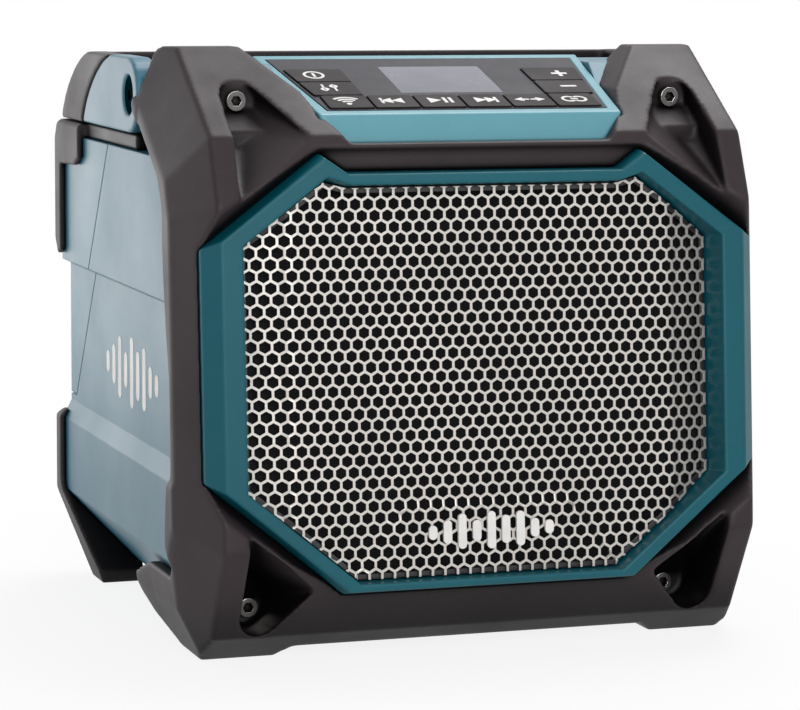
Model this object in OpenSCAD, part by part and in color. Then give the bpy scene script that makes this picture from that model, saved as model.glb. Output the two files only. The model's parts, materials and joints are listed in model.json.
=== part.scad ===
/* [Overall] */
// Width across the corner bumpers
overall_w = 268; // [256:1:284]
// Height to the tops of the front corner bumpers
overall_h = 258; // [252:1:268]
// Depth from the front bumpers to the rear bumpers
overall_d = 250; // [240:1:270]

/* [Front frame] */
// Lean of the front face from upright
face_lean = 4.5; // [2:0.5:7]
// Height of the lower bend, where the front face starts
bend_z = 52; // [46:1:58]
// Drop from the bumper tops to the middle bend of the front face
waist_drop = 63; // [60:1:68]
// Lean of the front face between the middle bend and the brow
waist_lean = 24; // [20:1:28]
// Drop from the bumper tops to the brow, where the slope to the top starts
brow_drop = 35; // [32:1:38]
// Slope of the brow above the horizontal
brow_slope = 33; // [28:1:38]
// Width of the side facets, seen from the front
face_in = 15; // [12:0.5:18]
// Depth of the side facets behind the front face
facet_depth = 32; // [29:1:36]
// Depth of the bezel seat behind the bumper faces
seat_depth = 11; // [8:0.5:13]
// How far the front bumper tops stand in from the sides
horn_in = 12; // [9:0.5:15]
// Width of the front bumper tops
horn_w = 31; // [26:1:36]
// Rear end of the skids along the bottom edges
skid_back = -14; // [-20:1:0]
// Top of the skids
skid_z = 35; // [30:1:38]
// Height of the step round the foot of the frame
boot_z = 76; // [70:1:80]
// How far the foot of the frame stands out below its step
boot_step = 1.2; // [0.6:0.1:1.6]

/* [Housing] */
// Step from the front bumpers in to the housing sides
side_in = 3; // [2:0.5:5]
// Depth of the long recess in each side
side_recess = 4; // [2:0.5:5]
// Bottom of the side recess
recess_low = 84; // [80:1:92]
// Drop from the shoulder to the top of the side recess
recess_drop = 62; // [56:1:70]
// Height where the underside starts to taper in
taper_z = 42; // [36:1:48]
// Step from the front bumpers in to the edge of the flat underside
under_in = 32; // [28:1:36]
// Clearance of the underside above the floor
under_z = 10; // [6:1:14]
// Drop from the bumper tops to the shoulder below the handle arms
shoulder_drop = 46; // [44:1:50]
// Drop from the bumper tops to the housing top
top_drop = 8; // [7:0.5:11]
// Step from the front bumpers in to the neck between the handle arms
neck_in = 13; // [12.5:0.5:16]
// Wall thickness of the housings
wall = 3; // [2:0.5:4]
// Rear edge of the flat top, where the finger slope starts
finger_y = 18; // [10:1:24]
// Foot of the finger slope on the shoulder
finger_foot = 70; // [60:1:76]
// Parting line of the rear housing at the shoulder
part_high_y = 27; // [18:1:36]
// Parting line of the rear housing at its lower edge
part_low_y = 108; // [100:1:112]
// Height of the lower edge of the rear housing
part_low_z = 88; // [86:1:94]
// Width and depth of the groove along the parting line
part_groove = 0.9; // [0.4:0.1:1.4]

/* [Bezel and grille] */
// Width of the frame beside the bezel
bezel_in = 9.8; // [8:0.2:13]
// Height of the lower edge of the bezel up the front face
bezel_low = 32; // [28:1:36]
// Drop from the bumper tops to the ears of the bezel
bezel_drop = 41; // [39:1:46]
// Run of the lower diagonals of the bezel
low_run = 59.3; // [54:0.1:64]
// Rise of the lower diagonals of the bezel
low_rise = 49; // [44:1:54]
// Run of the upper diagonals of the bezel
ear_run = 52; // [48:0.5:56]
// Fall of the upper diagonals of the bezel
ear_fall = 39; // [34:1:44]
// Depth of the notch between the ears of the bezel
notch_drop = 8; // [6:0.5:10]
// Depth of the bezel land behind the bumper faces
land_depth = 3; // [1:0.5:5]
// Depth of the bezel back behind the bumper faces
bezel_back = 20; // [18:0.5:22]
// Pitch of the hexagonal grille holes
mesh_pitch = 11.3; // [10:0.1:16]
// Width of the web between grille holes
mesh_web = 2.1; // [1.4:0.1:3]
// Thickness of the grille sheet
mesh_t = 1.2; // [0.8:0.1:1.6]
// Depth of the grille face behind the bumper faces
mesh_depth = 11; // [10:0.5:14]

/* [Drivers] */
// Thickness of the baffle board
baffle_t = 6; // [4:0.5:8]
// Woofer flange diameter as a share of the bezel height
woofer_share = 0.627; // [0.58:0.001:0.63]
// Tweeter flange diameter as a share of the bezel height
tweeter_share = 0.227; // [0.18:0.001:0.23]
// Margin from the ears of the bezel to the tweeter flange
tweeter_margin = 10; // [8:0.5:14]
// Gap between the flanges of the two drivers
driver_gap = 2; // [1:0.5:4]
// Radius of the woofer magnet
magnet_r = 38; // [30:1:42]

/* [Console] */
// Slope of the console panel above the horizontal
panel_slope = 16.4; // [13:0.2:19]
// Half-width of the panel at its front edge
panel_front = 63.3; // [60:0.1:65]
// Half-width of the panel at its rear edge
panel_rear = 71.5; // [68:0.1:73]
// Length of the panel along its slope
panel_l = 67.5; // [66:0.5:70]
// Drop from the bumper tops to the front edge of the panel
panel_drop = 25.6; // [25:0.1:27]
// Distance of the front edge of the panel behind the brow
panel_back = 15.5; // [13.5:0.5:17.5]
// Width of the coloured border around the panel
border = 5; // [4:0.2:5.4]
// Thickness of the dark panel plate
panel_t = 2; // [1.6:0.1:2.4]
// Depth of one row of keys along the slope
key_l = 17.5; // [15:0.5:18]
// Gap around each key
key_gap = 0.4; // [0.3:0.05:0.8]
// Travel of each key
key_travel = 1; // [0.6:0.1:1.2]
// Width of the display window
display_w = 47; // [40:0.5:48]
// Length of the display window along the slope
display_l = 35; // [30:0.5:36]

/* [Handle] */
// Drop from the bumper tops to the handle pivots
pivot_drop = 22; // [21:0.5:24]
// Position of the handle pivots from the middle of the object
pivot_y = -12; // [-16:0.5:-8]
// Radius of the round end of each arm
arm_r = 16.5; // [15:0.25:16.75]
// Thickness of each arm
arm_t = 10; // [8:0.5:11]
// Radius of the pivot shoulder
pivot_r = 4; // [3:0.25:5]
// Running clearance on the pivot shoulders
pivot_fit = 0.05; // [0.02:0.01:0.1]
// Thickness of the handle bar
bar_t = 17; // [14:0.5:19]
// How far the rubber grip stands proud of the arms
grip_proud = 0.8; // [0.4:0.1:1]

/* [Rear] */
// Width of the battery cover
cover_w = 128; // [112:1:132]
// Drop from the shoulder to the top of the battery cover
cover_drop = 11; // [10:0.5:16]
// Thickness of the battery cover
cover_t = 4; // [3:0.5:5]
// Bottom of the battery cover
cover_z = 97; // [95:0.5:100]
// Depth of the battery bay
bay_d = 72; // [60:1:76]
// Radius of the cover hinge pin
pin_r = 1.5; // [1:0.1:2]
// How far the rear bumpers stand behind the rear face
rear_proud = 6; // [5:0.5:8]
// Height of the upper rear bumpers below the shoulder
upper_bumper_h = 57; // [48:1:62]
// Upper end of the lower rear bumpers
lower_bumper_z = 80; // [72:1:84]
// Width of the port cover
port_w = 44; // [40:1:52]

/* [Small gaps] */
// Gap between fixed parts that are pressed together
seat_gap = 0.2; // [0.1:0.05:0.4]
// Gap between parts that move past each other
move_gap = 0.6; // [0.4:0.05:1]

/* [Hidden] */
$fn = 64;
half_w = overall_w / 2;
front_y = -overall_d / 2;
back_y = overall_d / 2;
rear_y = back_y - rear_proud;
waist_z = overall_h - waist_drop;
brow_z = overall_h - brow_drop;
shoulder_z = overall_h - shoulder_drop;
top_z = overall_h - top_drop;
pivot_z = overall_h - pivot_drop;
recess_high = shoulder_z - recess_drop;
face_half = half_w - face_in;
side_half = half_w - side_in;
neck_half = half_w - neck_in;
under_half = half_w - under_in;
horn_out = half_w - horn_in;
horn_back = pivot_y - arm_r - 5;
cover_h = shoulder_z - cover_drop - cover_z;
upper_bumper_z = shoulder_z - upper_bumper_h;
face_y0 = front_y - bend_z * tan(face_lean);
function face_y(z) = face_y0 + z * tan(face_lean);
brow_y = face_y(waist_z) + (brow_z - waist_z) * tan(waist_lean);
panel_z = overall_h - panel_drop;
panel_y = brow_y + panel_back;
toe_z = 12;
toe_y = front_y + 22;
foot_y = front_y + 38;
under_lean = atan((toe_y - front_y) / (bend_z - toe_z));
function under_y(z) = front_y + (bend_z - z) * (toe_y - front_y) / (bend_z - toe_z);
horn_y = brow_y + (overall_h - brow_z) / tan(brow_slope);
facet_y = facet_depth / cos(face_lean);

function unit(v) = v / norm(v);
function outward(p, q) = let (d = unit(q - p)) [d[1], -d[0]];
function grown(pts, d) = let (n = len(pts)) [for (i = [0:n - 1])
    let (a = outward(pts[(i + n - 1) % n], pts[i]), b = outward(pts[i], pts[(i + 1) % n]))
    pts[i] + (a + b) * d / (1 + a * b)];
function both(half) = concat(half, [for (i = [len(half) - 1:-1:0]) [-half[i][0], half[i][1]]]);
function turned(v, a) = [v[0] * cos(a) - v[1] * sin(a), v[0] * sin(a) + v[1] * cos(a)];
function corner(p, q, s, r, n) = let (a = unit(p - q), b = unit(s - q), h = acos(a * b) / 2,
    t = min(r / tan(h), 0.45 * min(norm(p - q), norm(s - q))), c = q + unit(a + b) * t / cos(h),
    way = sign(a[0] * b[1] - a[1] * b[0]))
    [for (k = [0:n]) c + turned(q + a * t - c, -way * (180 - 2 * h) * k / n)];
function rounded(pts, r, n = 3) = let (m = len(pts)) [for (i = [0:m - 1])
    each corner(pts[(i + m - 1) % m], pts[i], pts[(i + 1) % m], r, n)];

module along_x(pts, x0, x1) {
    translate([x0, 0, 0]) rotate([90, 0, 90]) linear_extrude(x1 - x0) polygon(pts);
}
module along_y(pts, y0, y1) {
    translate([0, y1, 0]) rotate([90, 0, 0]) linear_extrude(y1 - y0) polygon(pts);
}
module along_z(pts, z0, z1) {
    translate([0, 0, z0]) linear_extrude(z1 - z0) polygon(pts);
}
module on_face() {
    translate([0, face_y0, 0]) rotate([90 - face_lean, 0, 0]) children();
}
module on_waist() {
    translate([0, face_y(waist_z), waist_z]) rotate([90 - waist_lean, 0, 0]) children();
}
module on_brow() {
    translate([0, brow_y, brow_z]) rotate([brow_slope, 0, 0]) children();
}
module on_under() {
    translate([0, front_y, bend_z]) rotate([90 + under_lean, 0, 0]) children();
}
module on_panel() {
    translate([0, panel_y, panel_z]) rotate([panel_slope, 0, 0]) children();
}
module pair() {
    children();
    mirror([1, 0, 0]) children();
}
module slab(pts, w0, w1) {
    translate([0, 0, w0]) linear_extrude(w1 - w0) polygon(pts);
}

// Outlines of the housing, seen from the side and from the front
core_front = face_y(brow_z - 1) + facet_y;
core_top_y = core_front + (top_z - brow_z + 1) / tan(brow_slope);
sill_y = face_y(bend_z - 3) + facet_y;
block_side = [[sill_y + 30, under_z], [rear_y - 12, under_z], [rear_y, under_z + 12],
    [rear_y, shoulder_z], [finger_foot, shoulder_z], [finger_y, top_z], [core_top_y, top_z],
    [core_front, brow_z - 1], [sill_y, bend_z - 3]];
low_half = [[under_half, under_z], [side_half, taper_z], [side_half, recess_low - 8],
    [side_half - side_recess, recess_low], [side_half - side_recess, recess_high],
    [side_half, recess_high + 2], [side_half, shoulder_z]];
block_front = both(concat(low_half, [[neck_half, shoulder_z], [neck_half, top_z]]));
room_side = grown([[sill_y + 30, under_z], [rear_y - 12, under_z], [rear_y, under_z + 12],
    [rear_y, shoulder_z], [face_y(shoulder_z) + facet_y, shoulder_z], [sill_y, bend_z - 3]], -wall);
room_front = grown(both(low_half), -wall);
rear_cut = [[part_high_y, shoulder_z], [part_low_y, part_low_z], [rear_y + 1, part_low_z],
    [rear_y + 1, shoulder_z]];

// Octagons of the bezel in the plane of the front face: margins from its seat at the side, the bottom,
// the lower diagonals and the upper diagonals
bezel_half = half_w - bezel_in;
side_low = bezel_low + low_rise;
ear_v = overall_h - bezel_drop;
side_high = ear_v - ear_fall;
ear_x = bezel_half - ear_run;
notch_half = ear_x - 10.7;
low_angle = atan(low_rise / low_run);
ear_angle = atan(ear_fall / ear_run);
function octagon(side, low, diagonal, ear) = let (half = bezel_half - side, tip = ear_x - 0.16 * ear)
    both([[bezel_half - low_run + (low - diagonal / cos(low_angle)) / tan(low_angle), bezel_low + low],
        [half, side_low - side * tan(low_angle) + diagonal / cos(low_angle)],
        [half, side_high + side * tan(ear_angle) - ear / cos(ear_angle)],
        [tip, side_high + (bezel_half - tip) * tan(ear_angle) - ear / cos(ear_angle)],
        [notch_half - 0.12 * ear, ear_v - notch_drop - 0.61 * ear]]);
seat_ring = octagon(0, 0, 0, 0);
land_out = octagon(6.9, 1.4, 1.5, 1.7);
land_in = octagon(16.5, 4.5, 7, 9);
mesh_ring = octagon(18.7, 5.2, 8, 10.4);
seat_hull = both([seat_ring[0], seat_ring[1], seat_ring[2], seat_ring[3], [notch_half / 2, ear_v]]);

// Places of the frame screws: half-width and height
screw_high = [half_w - 34.7, pivot_z];
screw_low = [half_w - 37.6, 20];
function block_front_y(z) = z > brow_z - 1 ? core_front + (z - brow_z + 1) / tan(brow_slope)
    : sill_y + (bend_z - 3 - z) * 30 / (bend_z - 3 - under_z);
pocket_r = 8.6;
pocket_skin = 3;
facet_skin = 2;

module housing_block(gap) {
    intersection() {
        along_x(grown(block_side, gap), -half_w, half_w);
        along_y(grown(block_front, gap), front_y, back_y);
        on_waist() facet_prism(facet_skin - gap);
        on_brow() facet_prism(facet_skin - gap);
    }
}
module housing_room() {
    intersection() {
        along_x(room_side, -half_w, half_w);
        along_y(room_front, front_y, back_y);
    }
}
neck_out = grown(seat_ring, -0.6);
neck_room = grown(seat_hull, -9);
neck_front = bezel_back + baffle_t;
console_deep = 14;
console_profile = [[-12.9, -9.4], [-11, -console_deep], [panel_l + border, -console_deep],
    [panel_l + border, 0], [-border, 0]];
console_plan = both([[panel_front - 4.9, -13], [panel_front + border, -border],
    [panel_rear + border, panel_l + border]]);
panel_plan = both([[panel_front, 0], [panel_rear, panel_l]]);

module console_body(gap) {
    on_panel() intersection() {
        along_x(grown(console_profile, gap), -half_w, half_w);
        slab(grown(console_plan, gap), -30, 10);
    }
}
module above_console() {
    on_panel() slab(grown(console_plan, seat_gap), -1, 20);
}
module screw_boss(place) {
    y0 = block_front_y(place[1]);
    translate([place[0], y0 + 4, place[1]]) rotate([-90, 0, 0]) cylinder(r = 6, h = 16);
}
module shank_hole(place) {
    translate([place[0], block_front_y(place[1]) - 12, place[1]]) rotate([-90, 0, 0])
        cylinder(r = 2.5, h = 28);
}
module round_x(r, x0, x1, y, z) {
    translate([x0, y, z]) rotate([0, 90, 0]) cylinder(r = r, h = x1 - x0);
}
module round_y(r, x, y0, y1, z) {
    translate([x, y0, z]) rotate([-90, 0, 0]) cylinder(r = r, h = y1 - y0);
}
inlet_x = 53;
jack_x = 71;
port_x = 62;
port_z = 52;
inlet_r = 5.3;
jack_r = 4;
lug_r = 2.3;
lug_y = rear_y + lug_r + 0.6;
port_pin_z = port_z - 15;
port_pin_r = 1;
port_left = port_x - port_w / 2;
port_right = port_x + port_w / 2;

module lug(x0, x1, z) {
    round_x(lug_r, x0, x1, lug_y, z);
    translate([x0, rear_y - 1, z - lug_r]) cube([x1 - x0, lug_y - rear_y + 1, 2 * lug_r]);
}
module parting_groove() {
    along_x(grown(rear_cut, part_groove), side_half - part_groove, half_w);
    intersection() {
        along_x(grown(rear_cut, part_groove), side_half - side_recess - part_groove, half_w);
        translate([0, 0, recess_low]) cube([half_w, back_y, recess_high - recess_low]);
    }
}
module main_housing() {
    color([0.35, 0.5, 0.55]) difference() {
        union() {
            difference() {
                union() {
                    housing_block(0);
                    on_face() slab(neck_out, -neck_front - 22, -neck_front);
                }
                housing_room();
                on_face() slab(neck_room, -neck_front - 30, 1);
                along_x(rear_cut, -half_w, half_w);
                pair() parting_groove();
                console_body(seat_gap);
                above_console();
            }
            intersection() {
                pair() screw_boss(screw_low);
                along_x(block_side, -half_w, half_w);
            }
            lug(port_left - 5, port_left, port_pin_z);
            lug(port_right, port_right + 5, port_pin_z);
        }
        pair() shank_hole(screw_low);
        pair() shank_hole(screw_high);
        pair() round_x(pivot_r, neck_half - 12, neck_half + 1, pivot_y, pivot_z);
        round_y(inlet_r, inlet_x, rear_y - 20, rear_y + 1, port_z);
        round_y(jack_r, jack_x, rear_y - 20, rear_y + 1, port_z);
        round_x(port_pin_r, port_left - 3.5, port_right + 3.5, lug_y, port_pin_z);
    }
}

// The rear housing closes the back and holds the battery bay and its cover
cover_half = cover_w / 2;
cover_top = cover_z + cover_h;
cover_y = rear_y + 0.5;
cover_in = cover_y - cover_t;
seal_t = 1.3;
flange_y = cover_in - seal_t;
hinge_z = cover_z - 4;
bay_half = cover_half - 12;
bay_low = cover_z + 5;
bay_high = cover_top - 5;
bay_front = flange_y - bay_d;
bay_wall = 2.5;
knuckle_in = 42;
knuckle_out = 54;
catch_z = cover_top + 3;

module rear_housing() {
    color([0.35, 0.5, 0.55]) difference() {
        union() {
            difference() {
                intersection() {
                    housing_block(0);
                    along_x(rear_cut, -half_w, half_w);
                }
                housing_room();
            }
            pair() lug(knuckle_out + move_gap, knuckle_out + 6, hinge_z);
            translate([-9, rear_y - 1, catch_z]) cube([18, 2.4, 2]);
        }
        translate([-cover_half - move_gap, flange_y - 10, cover_z - move_gap])
            cube([cover_w + 2 * move_gap, 30, cover_h + 2 * move_gap]);
        pair() round_x(pin_r, knuckle_in, knuckle_out + 4.5, lug_y, hinge_z);
    }
}

// The front frame with its four corner bumpers
knee_z = pivot_z;
lip_z = overall_h - 38.5;
lip_half = panel_front - 4.9;
outer = half_w - boot_step;
skid_profile = [[foot_y, 0], [skid_back - 44, 0], [skid_back - 12, 9], [skid_back - 1, 17],
    [skid_back, skid_z - 9], [skid_back - 28, skid_z], [sill_y + 16, skid_z], [sill_y + 6, skid_z + 5],
    [sill_y + 2, bend_z], [front_y, bend_z], [toe_y, toe_z]];
band_profile = [[foot_y, 0], [foot_y + 22, 0], [sill_y + 14, skid_z], [sill_y, bend_z],
    [core_front, brow_z], [core_top_y, top_z], [horn_back, top_z], [horn_back, overall_h],
    [horn_y, overall_h], [brow_y, brow_z], [face_y(waist_z), waist_z], [front_y, bend_z], [toe_y, toe_z]];
wing_profile = [[face_y(waist_z), waist_z], [core_front - 3, waist_z - 10], [core_front + 2.5, waist_z + 4],
    [core_front + 16, waist_z + 16], [core_front + 36, brow_z + 2], [horn_back - 1, brow_z + 4],
    [horn_back, brow_z + 7], [horn_back, overall_h], [horn_y, overall_h], [brow_y, brow_z]];
frame_outline = both([[half_w - 54, 5], [half_w - 47, 0], [half_w - 14.3, 0], [half_w - 5, 22],
    [half_w, bend_z + 3], [half_w, boot_z], [outer, boot_z + 2], [outer, knee_z], [outer - 3, knee_z + 10],
    [outer - 6, knee_z + 16], [horn_out, overall_h], [horn_out - horn_w, overall_h],
    [panel_front + 8.7, overall_h - 18], [panel_front + 4.7, overall_h - 26], [lip_half, lip_z]]);
function facet(skin) = let (near = face_half - skin, far = half_w - skin)
    [[-near, 0], [-far, -facet_depth], [-far, -300], [far, -300], [far, -facet_depth], [near, 0]];
function seat_y(place) = min(block_front_y(place[1] - 5.5), block_front_y(place[1] + 5.5)) - 2;

module facet_prism(skin) {
    translate([0, -200, 0]) rotate([90, 0, 0]) mirror([0, 0, 1]) linear_extrude(600)
        polygon(facet(skin));
}
module frame_envelope() {
    intersection() {
        union() {
            along_x(band_profile, -half_w, half_w);
            pair() along_x(skid_profile, under_half - 4, half_w);
            pair() along_x(wing_profile, neck_half + 0.3, half_w);
        }
        along_y(frame_outline, front_y - 5, back_y);
        on_under() facet_prism(0);
        on_face() facet_prism(0);
        on_waist() facet_prism(0);
        on_brow() facet_prism(0);
    }
}
module pocket_edge(x, y, z) {
    translate([x - 0.1, y - 60, z - 0.1]) cube([0.2, 60, 0.2]);
}
module high_pocket() {
    hull() {
        round_y(pocket_r, screw_high[0], seat_y(screw_high) - 90, seat_y(screw_high), screw_high[1]);
        pocket_edge(half_w - 58, brow_y, brow_z - 1);
        pocket_edge(half_w - 25, face_y(waist_z), waist_z);
    }
}
module low_pocket() {
    hull() {
        round_y(pocket_r, screw_low[0] + 2.4, seat_y(screw_low) - 90, seat_y(screw_low), screw_low[1] + 1.2);
        pocket_edge(half_w - 26, face_y(bend_z + 8), bend_z + 8);
        pocket_edge(half_w - 57, under_y(bend_z - 19), bend_z - 19);
    }
}
module front_frame() {
    color([0.2, 0.19, 0.19]) difference() {
        union() {
            difference() {
                frame_envelope();
                on_face() slab(grown(seat_ring, 0.4), -80, 10);
                on_face() hull() {
                    slab(grown(seat_hull, 0.4), -seat_depth, -seat_depth + 0.01);
                    slab(grown(seat_hull, 8), 0, 3);
                }
                pair() difference() {
                    union() {
                        high_pocket();
                        low_pocket();
                    }
                    along_x(grown(block_side, pocket_skin), 0, half_w);
                }
            }
            for (place = [screw_high, screw_low])
                pair() round_y(6.2, place[0], seat_y(place), seat_y(place) + 14, place[1]);
        }
        housing_block(seat_gap);
        console_body(seat_gap);
        for (place = [screw_high, screw_low]) pair() {
            shank_hole(place);
            round_y(5, place[0], seat_y(place) - 30, seat_y(place), place[1]);
        }
    }
}

// Rings of ten points joined into the moulded octagon of the bezel
function at_depth(ring, w) = [for (p = ring) [p[0], p[1], -w]];
module ring_loft(rings) {
    n = len(rings[0]);
    m = len(rings);
    polyhedron(points = [for (ring = rings) each ring], faces = [for (i = [0:m - 1]) for (j = [0:n - 1])
        [i * n + j, (i + 1) % m * n + j, (i + 1) % m * n + (j + 1) % n, i * n + (j + 1) % n]]);
}
module bezel() {
    color([0, 0.33, 0.38]) on_face() ring_loft([at_depth(seat_ring, bezel_back),
        at_depth(seat_ring, seat_depth), at_depth(land_out, land_depth), at_depth(land_in, land_depth),
        at_depth(mesh_ring, bezel_back)]);
}

// Hexagonal holes in staggered rows
row_step = mesh_pitch * sqrt(3) / 2;
mesh_mid = (side_low + side_high) / 2;
sheet = grown(mesh_ring, -0.3);
sheet_field = both([sheet[0], sheet[1], sheet[2], sheet[3]]);
hole_r = (mesh_pitch - mesh_web) / sqrt(3);
hole_edge = mesh_pitch / 2 + 0.4;
function within(p, pts) = min([for (i = [0:len(pts) - 1])
    let (q = pts[i], s = pts[(i + 1) % len(pts)]) (q - p) * outward(q, s)]) > hole_edge;
function clear_of_top(p) = p[1] < sheet[4][1] - hole_edge || abs(p[0]) > sheet[4][0] + 4;
hole_centres = [for (row = [-24:24]) for (col = [-20:20])
    let (p = [(col + (row % 2 == 0 ? 0 : 0.5)) * mesh_pitch, mesh_mid + row * row_step])
    if (within(p, sheet_field) && clear_of_top(p)) p];
module grille() {
    color([0.8, 0.79, 0.77]) on_face() translate([0, 0, -mesh_depth - mesh_t]) linear_extrude(mesh_t)
        difference() {
            polygon(sheet);
            for (p = hole_centres) translate(p) rotate(30) circle(r = hole_r, $fn = 6);
        }
}
cloth_t = 0.5;
module grille_cloth() {
    color([0.08, 0.08, 0.08]) on_face()
        slab(grown(mesh_ring, -0.3), -bezel_back, -bezel_back + cloth_t);
}

// Baffle and drivers, on the axis of the front face
woofer_r = woofer_share * (ear_v - bezel_low) / 2;
tweeter_r = tweeter_share * (ear_v - bezel_low) / 2;
tweeter_v = ear_v - tweeter_margin - tweeter_r;
woofer_v = tweeter_v - tweeter_r - driver_gap - woofer_r;
rim_r = 0.845 * woofer_r;
roll_gap = 0.5;
roll_r = baffle_t - roll_gap;
cone_r = rim_r - 2 * roll_r - 2;
cap_r = 0.224 * woofer_r;
basket_w = 32;
module at_woofer() {
    on_face() translate([0, woofer_v, -neck_front]) children();
}
module at_tweeter() {
    on_face() translate([0, tweeter_v, -neck_front]) children();
}
module baffle() {
    color([0.15, 0.15, 0.16]) difference() {
        on_face() slab(neck_out, -neck_front, -bezel_back);
        at_woofer() translate([0, 0, -1]) cylinder(r = rim_r, h = 20);
        at_tweeter() translate([0, 0, -1]) cylinder(r = tweeter_r - 7, h = 20);
    }
}
module woofer_frame() {
    color([0.25, 0.25, 0.27]) at_woofer() rotate_extrude() polygon([[rim_r, 0], [woofer_r, 0],
        [woofer_r, -3], [rim_r + 2, -3], [magnet_r + 1, -basket_w], [16, -basket_w],
        [16, -basket_w + 2.5], [magnet_r - 1, -basket_w + 2.5]]);
}
module woofer_magnet() {
    color([0.35, 0.35, 0.37]) at_woofer() translate([0, 0, -basket_w - 20]) cylinder(r = magnet_r, h = 20);
}
module woofer_surround() {
    color([0.1, 0.1, 0.1]) at_woofer() rotate_extrude() polygon(concat(
        [for (k = [0:10]) [cone_r + roll_r + roll_r * cos(k * 18), roll_r * sin(k * 18)]],
        [for (k = [10:-1:0]) [cone_r + roll_r + (roll_r - 0.8) * cos(k * 18),
            (roll_r - 0.8) * sin(k * 18)]]));
}
module woofer_cone() {
    color([0.16, 0.16, 0.17]) at_woofer() rotate_extrude() polygon([[cone_r, 0.6], [cone_r - 0.2, -0.6],
        [cap_r, -19], [cap_r, -17.8]]);
}
module dust_cap() {
    color([0.12, 0.12, 0.13]) at_woofer() intersection() {
        translate([0, 0, -30]) sphere(r = cap_r + 5);
        translate([0, 0, -19]) cylinder(r = cap_r, h = 20);
    }
}
module tweeter() {
    color([0.2, 0.2, 0.22]) at_tweeter() {
        translate([0, 0, -2.5]) cylinder(r = tweeter_r, h = 2.5);
        translate([0, 0, -16]) cylinder(r = tweeter_r - 6, h = 14);
        intersection() {
            translate([0, 0, -8]) sphere(r = 13);
            translate([0, 0, -1]) cylinder(r = 12, h = 10);
        }
    }
}

// Console, panel plate and keys, all in the plane of the panel
board_low = -9;
ledge = 0.8;
board_t = 1.6;
mat_t = 2;
key_low = board_low + board_t + mat_t + key_travel + 0.1;
key_high = 0.7;
columns = 6;
key_margin = 1;
key_w = 2 * (panel_front - key_margin) / columns;
display_from = key_l + 4;
function edge_x(t) = panel_front + (panel_rear - panel_front) * t / panel_l;
function row_key(col, g) = let (x0 = key_margin - panel_front + col * key_w, x1 = x0 + key_w)
    [[x0 + g, key_margin + g], [x1 - g, key_margin + g], [x1 - g, key_l - g], [x0 + g, key_l - g]];
function side_key(row, way, g) = let (t0 = row * key_l, t1 = t0 + key_l,
    inner = panel_front - key_margin - key_w,
    pts = [[inner + g, t0 + g], [edge_x(t0) - key_margin - g, t0 + g],
        [edge_x(t1) - key_margin - g, t1 - g], [inner + g, t1 - g]])
    way > 0 ? pts : [for (i = [3:-1:0]) [-pts[i][0], pts[i][1]]];
function key_outlines(g) = concat([for (col = [0:columns - 1]) row_key(col, g)],
    [side_key(1, -1, g), side_key(2, -1, g), side_key(1, 1, g), side_key(2, 1, g)]);
function display_plan(g) = both([[display_w / 2 - g, display_from + g],
    [display_w / 2 - g, display_from + display_l - g]]);

module console() {
    color([0.1, 0.42, 0.47]) difference() {
        console_body(0);
        on_panel() {
            slab(grown(panel_plan, seat_gap), -panel_t, 1);
            slab(grown(panel_plan, -ledge), board_low, 0);
        }
    }
}
module panel_plate() {
    color([0.3, 0.29, 0.33]) on_panel() difference() {
        slab(panel_plan, -panel_t, 0);
        for (outline = key_outlines(key_gap / 2)) slab(outline, -panel_t - 1, 1);
        slab(display_plan(0), -panel_t - 1, 1);
    }
}
module display_lens() {
    color([0.6, 0.6, 0.66]) on_panel() slab(display_plan(0.1), -panel_t, 0);
}
module display_module() {
    color([0.4, 0.45, 0.4]) on_panel() slab(display_plan(-1), board_low + board_t, -panel_t);
}
module key_mat() {
    color([0.2, 0.2, 0.2]) on_panel() difference() {
        slab(grown(panel_plan, -ledge - 0.3), board_low + board_t, board_low + board_t + mat_t);
        slab(display_plan(-1.4), -20, 0);
    }
}
module control_board() {
    color([0.1, 0.35, 0.15]) on_panel()
        slab(grown(panel_plan, -ledge - 0.3), board_low, board_low + board_t);
}
module key(i) {
    color([0.25, 0.24, 0.24]) on_panel()
        slab(rounded(key_outlines(key_gap / 2 + key_gap)[i], 1.2), key_low, key_high);
}
module key_wireless() { key(0); }
module key_previous() { key(1); }
module key_play() { key(2); }
module key_next() { key(3); }
module key_channel() { key(4); }
module key_link() { key(5); }
module key_sound() { key(6); }
module key_power() { key(7); }
module key_minus() { key(8); }
module key_plus() { key(9); }

// Carry handle: two arms, a curved bar and a rubber grip over it
arm_in = neck_half + move_gap;
arm_out = arm_in + arm_t;
arm_low = pivot_z - arm_r;
arm_high = pivot_z + arm_r;
bar_long = 54;
bar_end = 114;
bar_y0 = bar_end - bar_long;
bar_high = 2 * arm_r;
arm_split = bar_y0 - 41;
bar_swell = 4 / 3;
function swelled(a) = [pow(sin(a), bar_swell), pow(cos(a), bar_swell)];
function quarter(y0, inset = 0) = [for (k = [0:10]) let (s = swelled(k * 9))
    [y0 + (bar_long - inset) * s[0], arm_low + (bar_high - inset) * s[1]]];
function backward(pts) = [for (i = [len(pts) - 1:-1:0]) pts[i]];
round_end = [for (k = [0:12]) [pivot_y + arm_r * cos(90 + k * 15), pivot_z + arm_r * sin(90 + k * 15)]];
arm_profile = concat(round_end, backward(quarter(arm_split)));
grip_side = concat(backward(quarter(bar_y0)), quarter(arm_split));
bar_ring = concat(backward(quarter(bar_y0)), quarter(bar_y0, bar_t));
core_r = 5;
core_y = bar_y0 + (bar_long - bar_t / 2) * swelled(45)[0];
core_z = arm_low + (bar_high - bar_t / 2) * swelled(45)[1];
tongue_side = [[arm_split + 20, arm_low + 8], [core_y, core_z - 7], [core_y + 6, core_z - 2],
    [core_y + 3, core_z + 2], [bar_y0, arm_high - 7], [arm_split - 10, arm_high - 7]];
tongue_t = 5;
head_r = 8;
head_t = 3;
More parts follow.
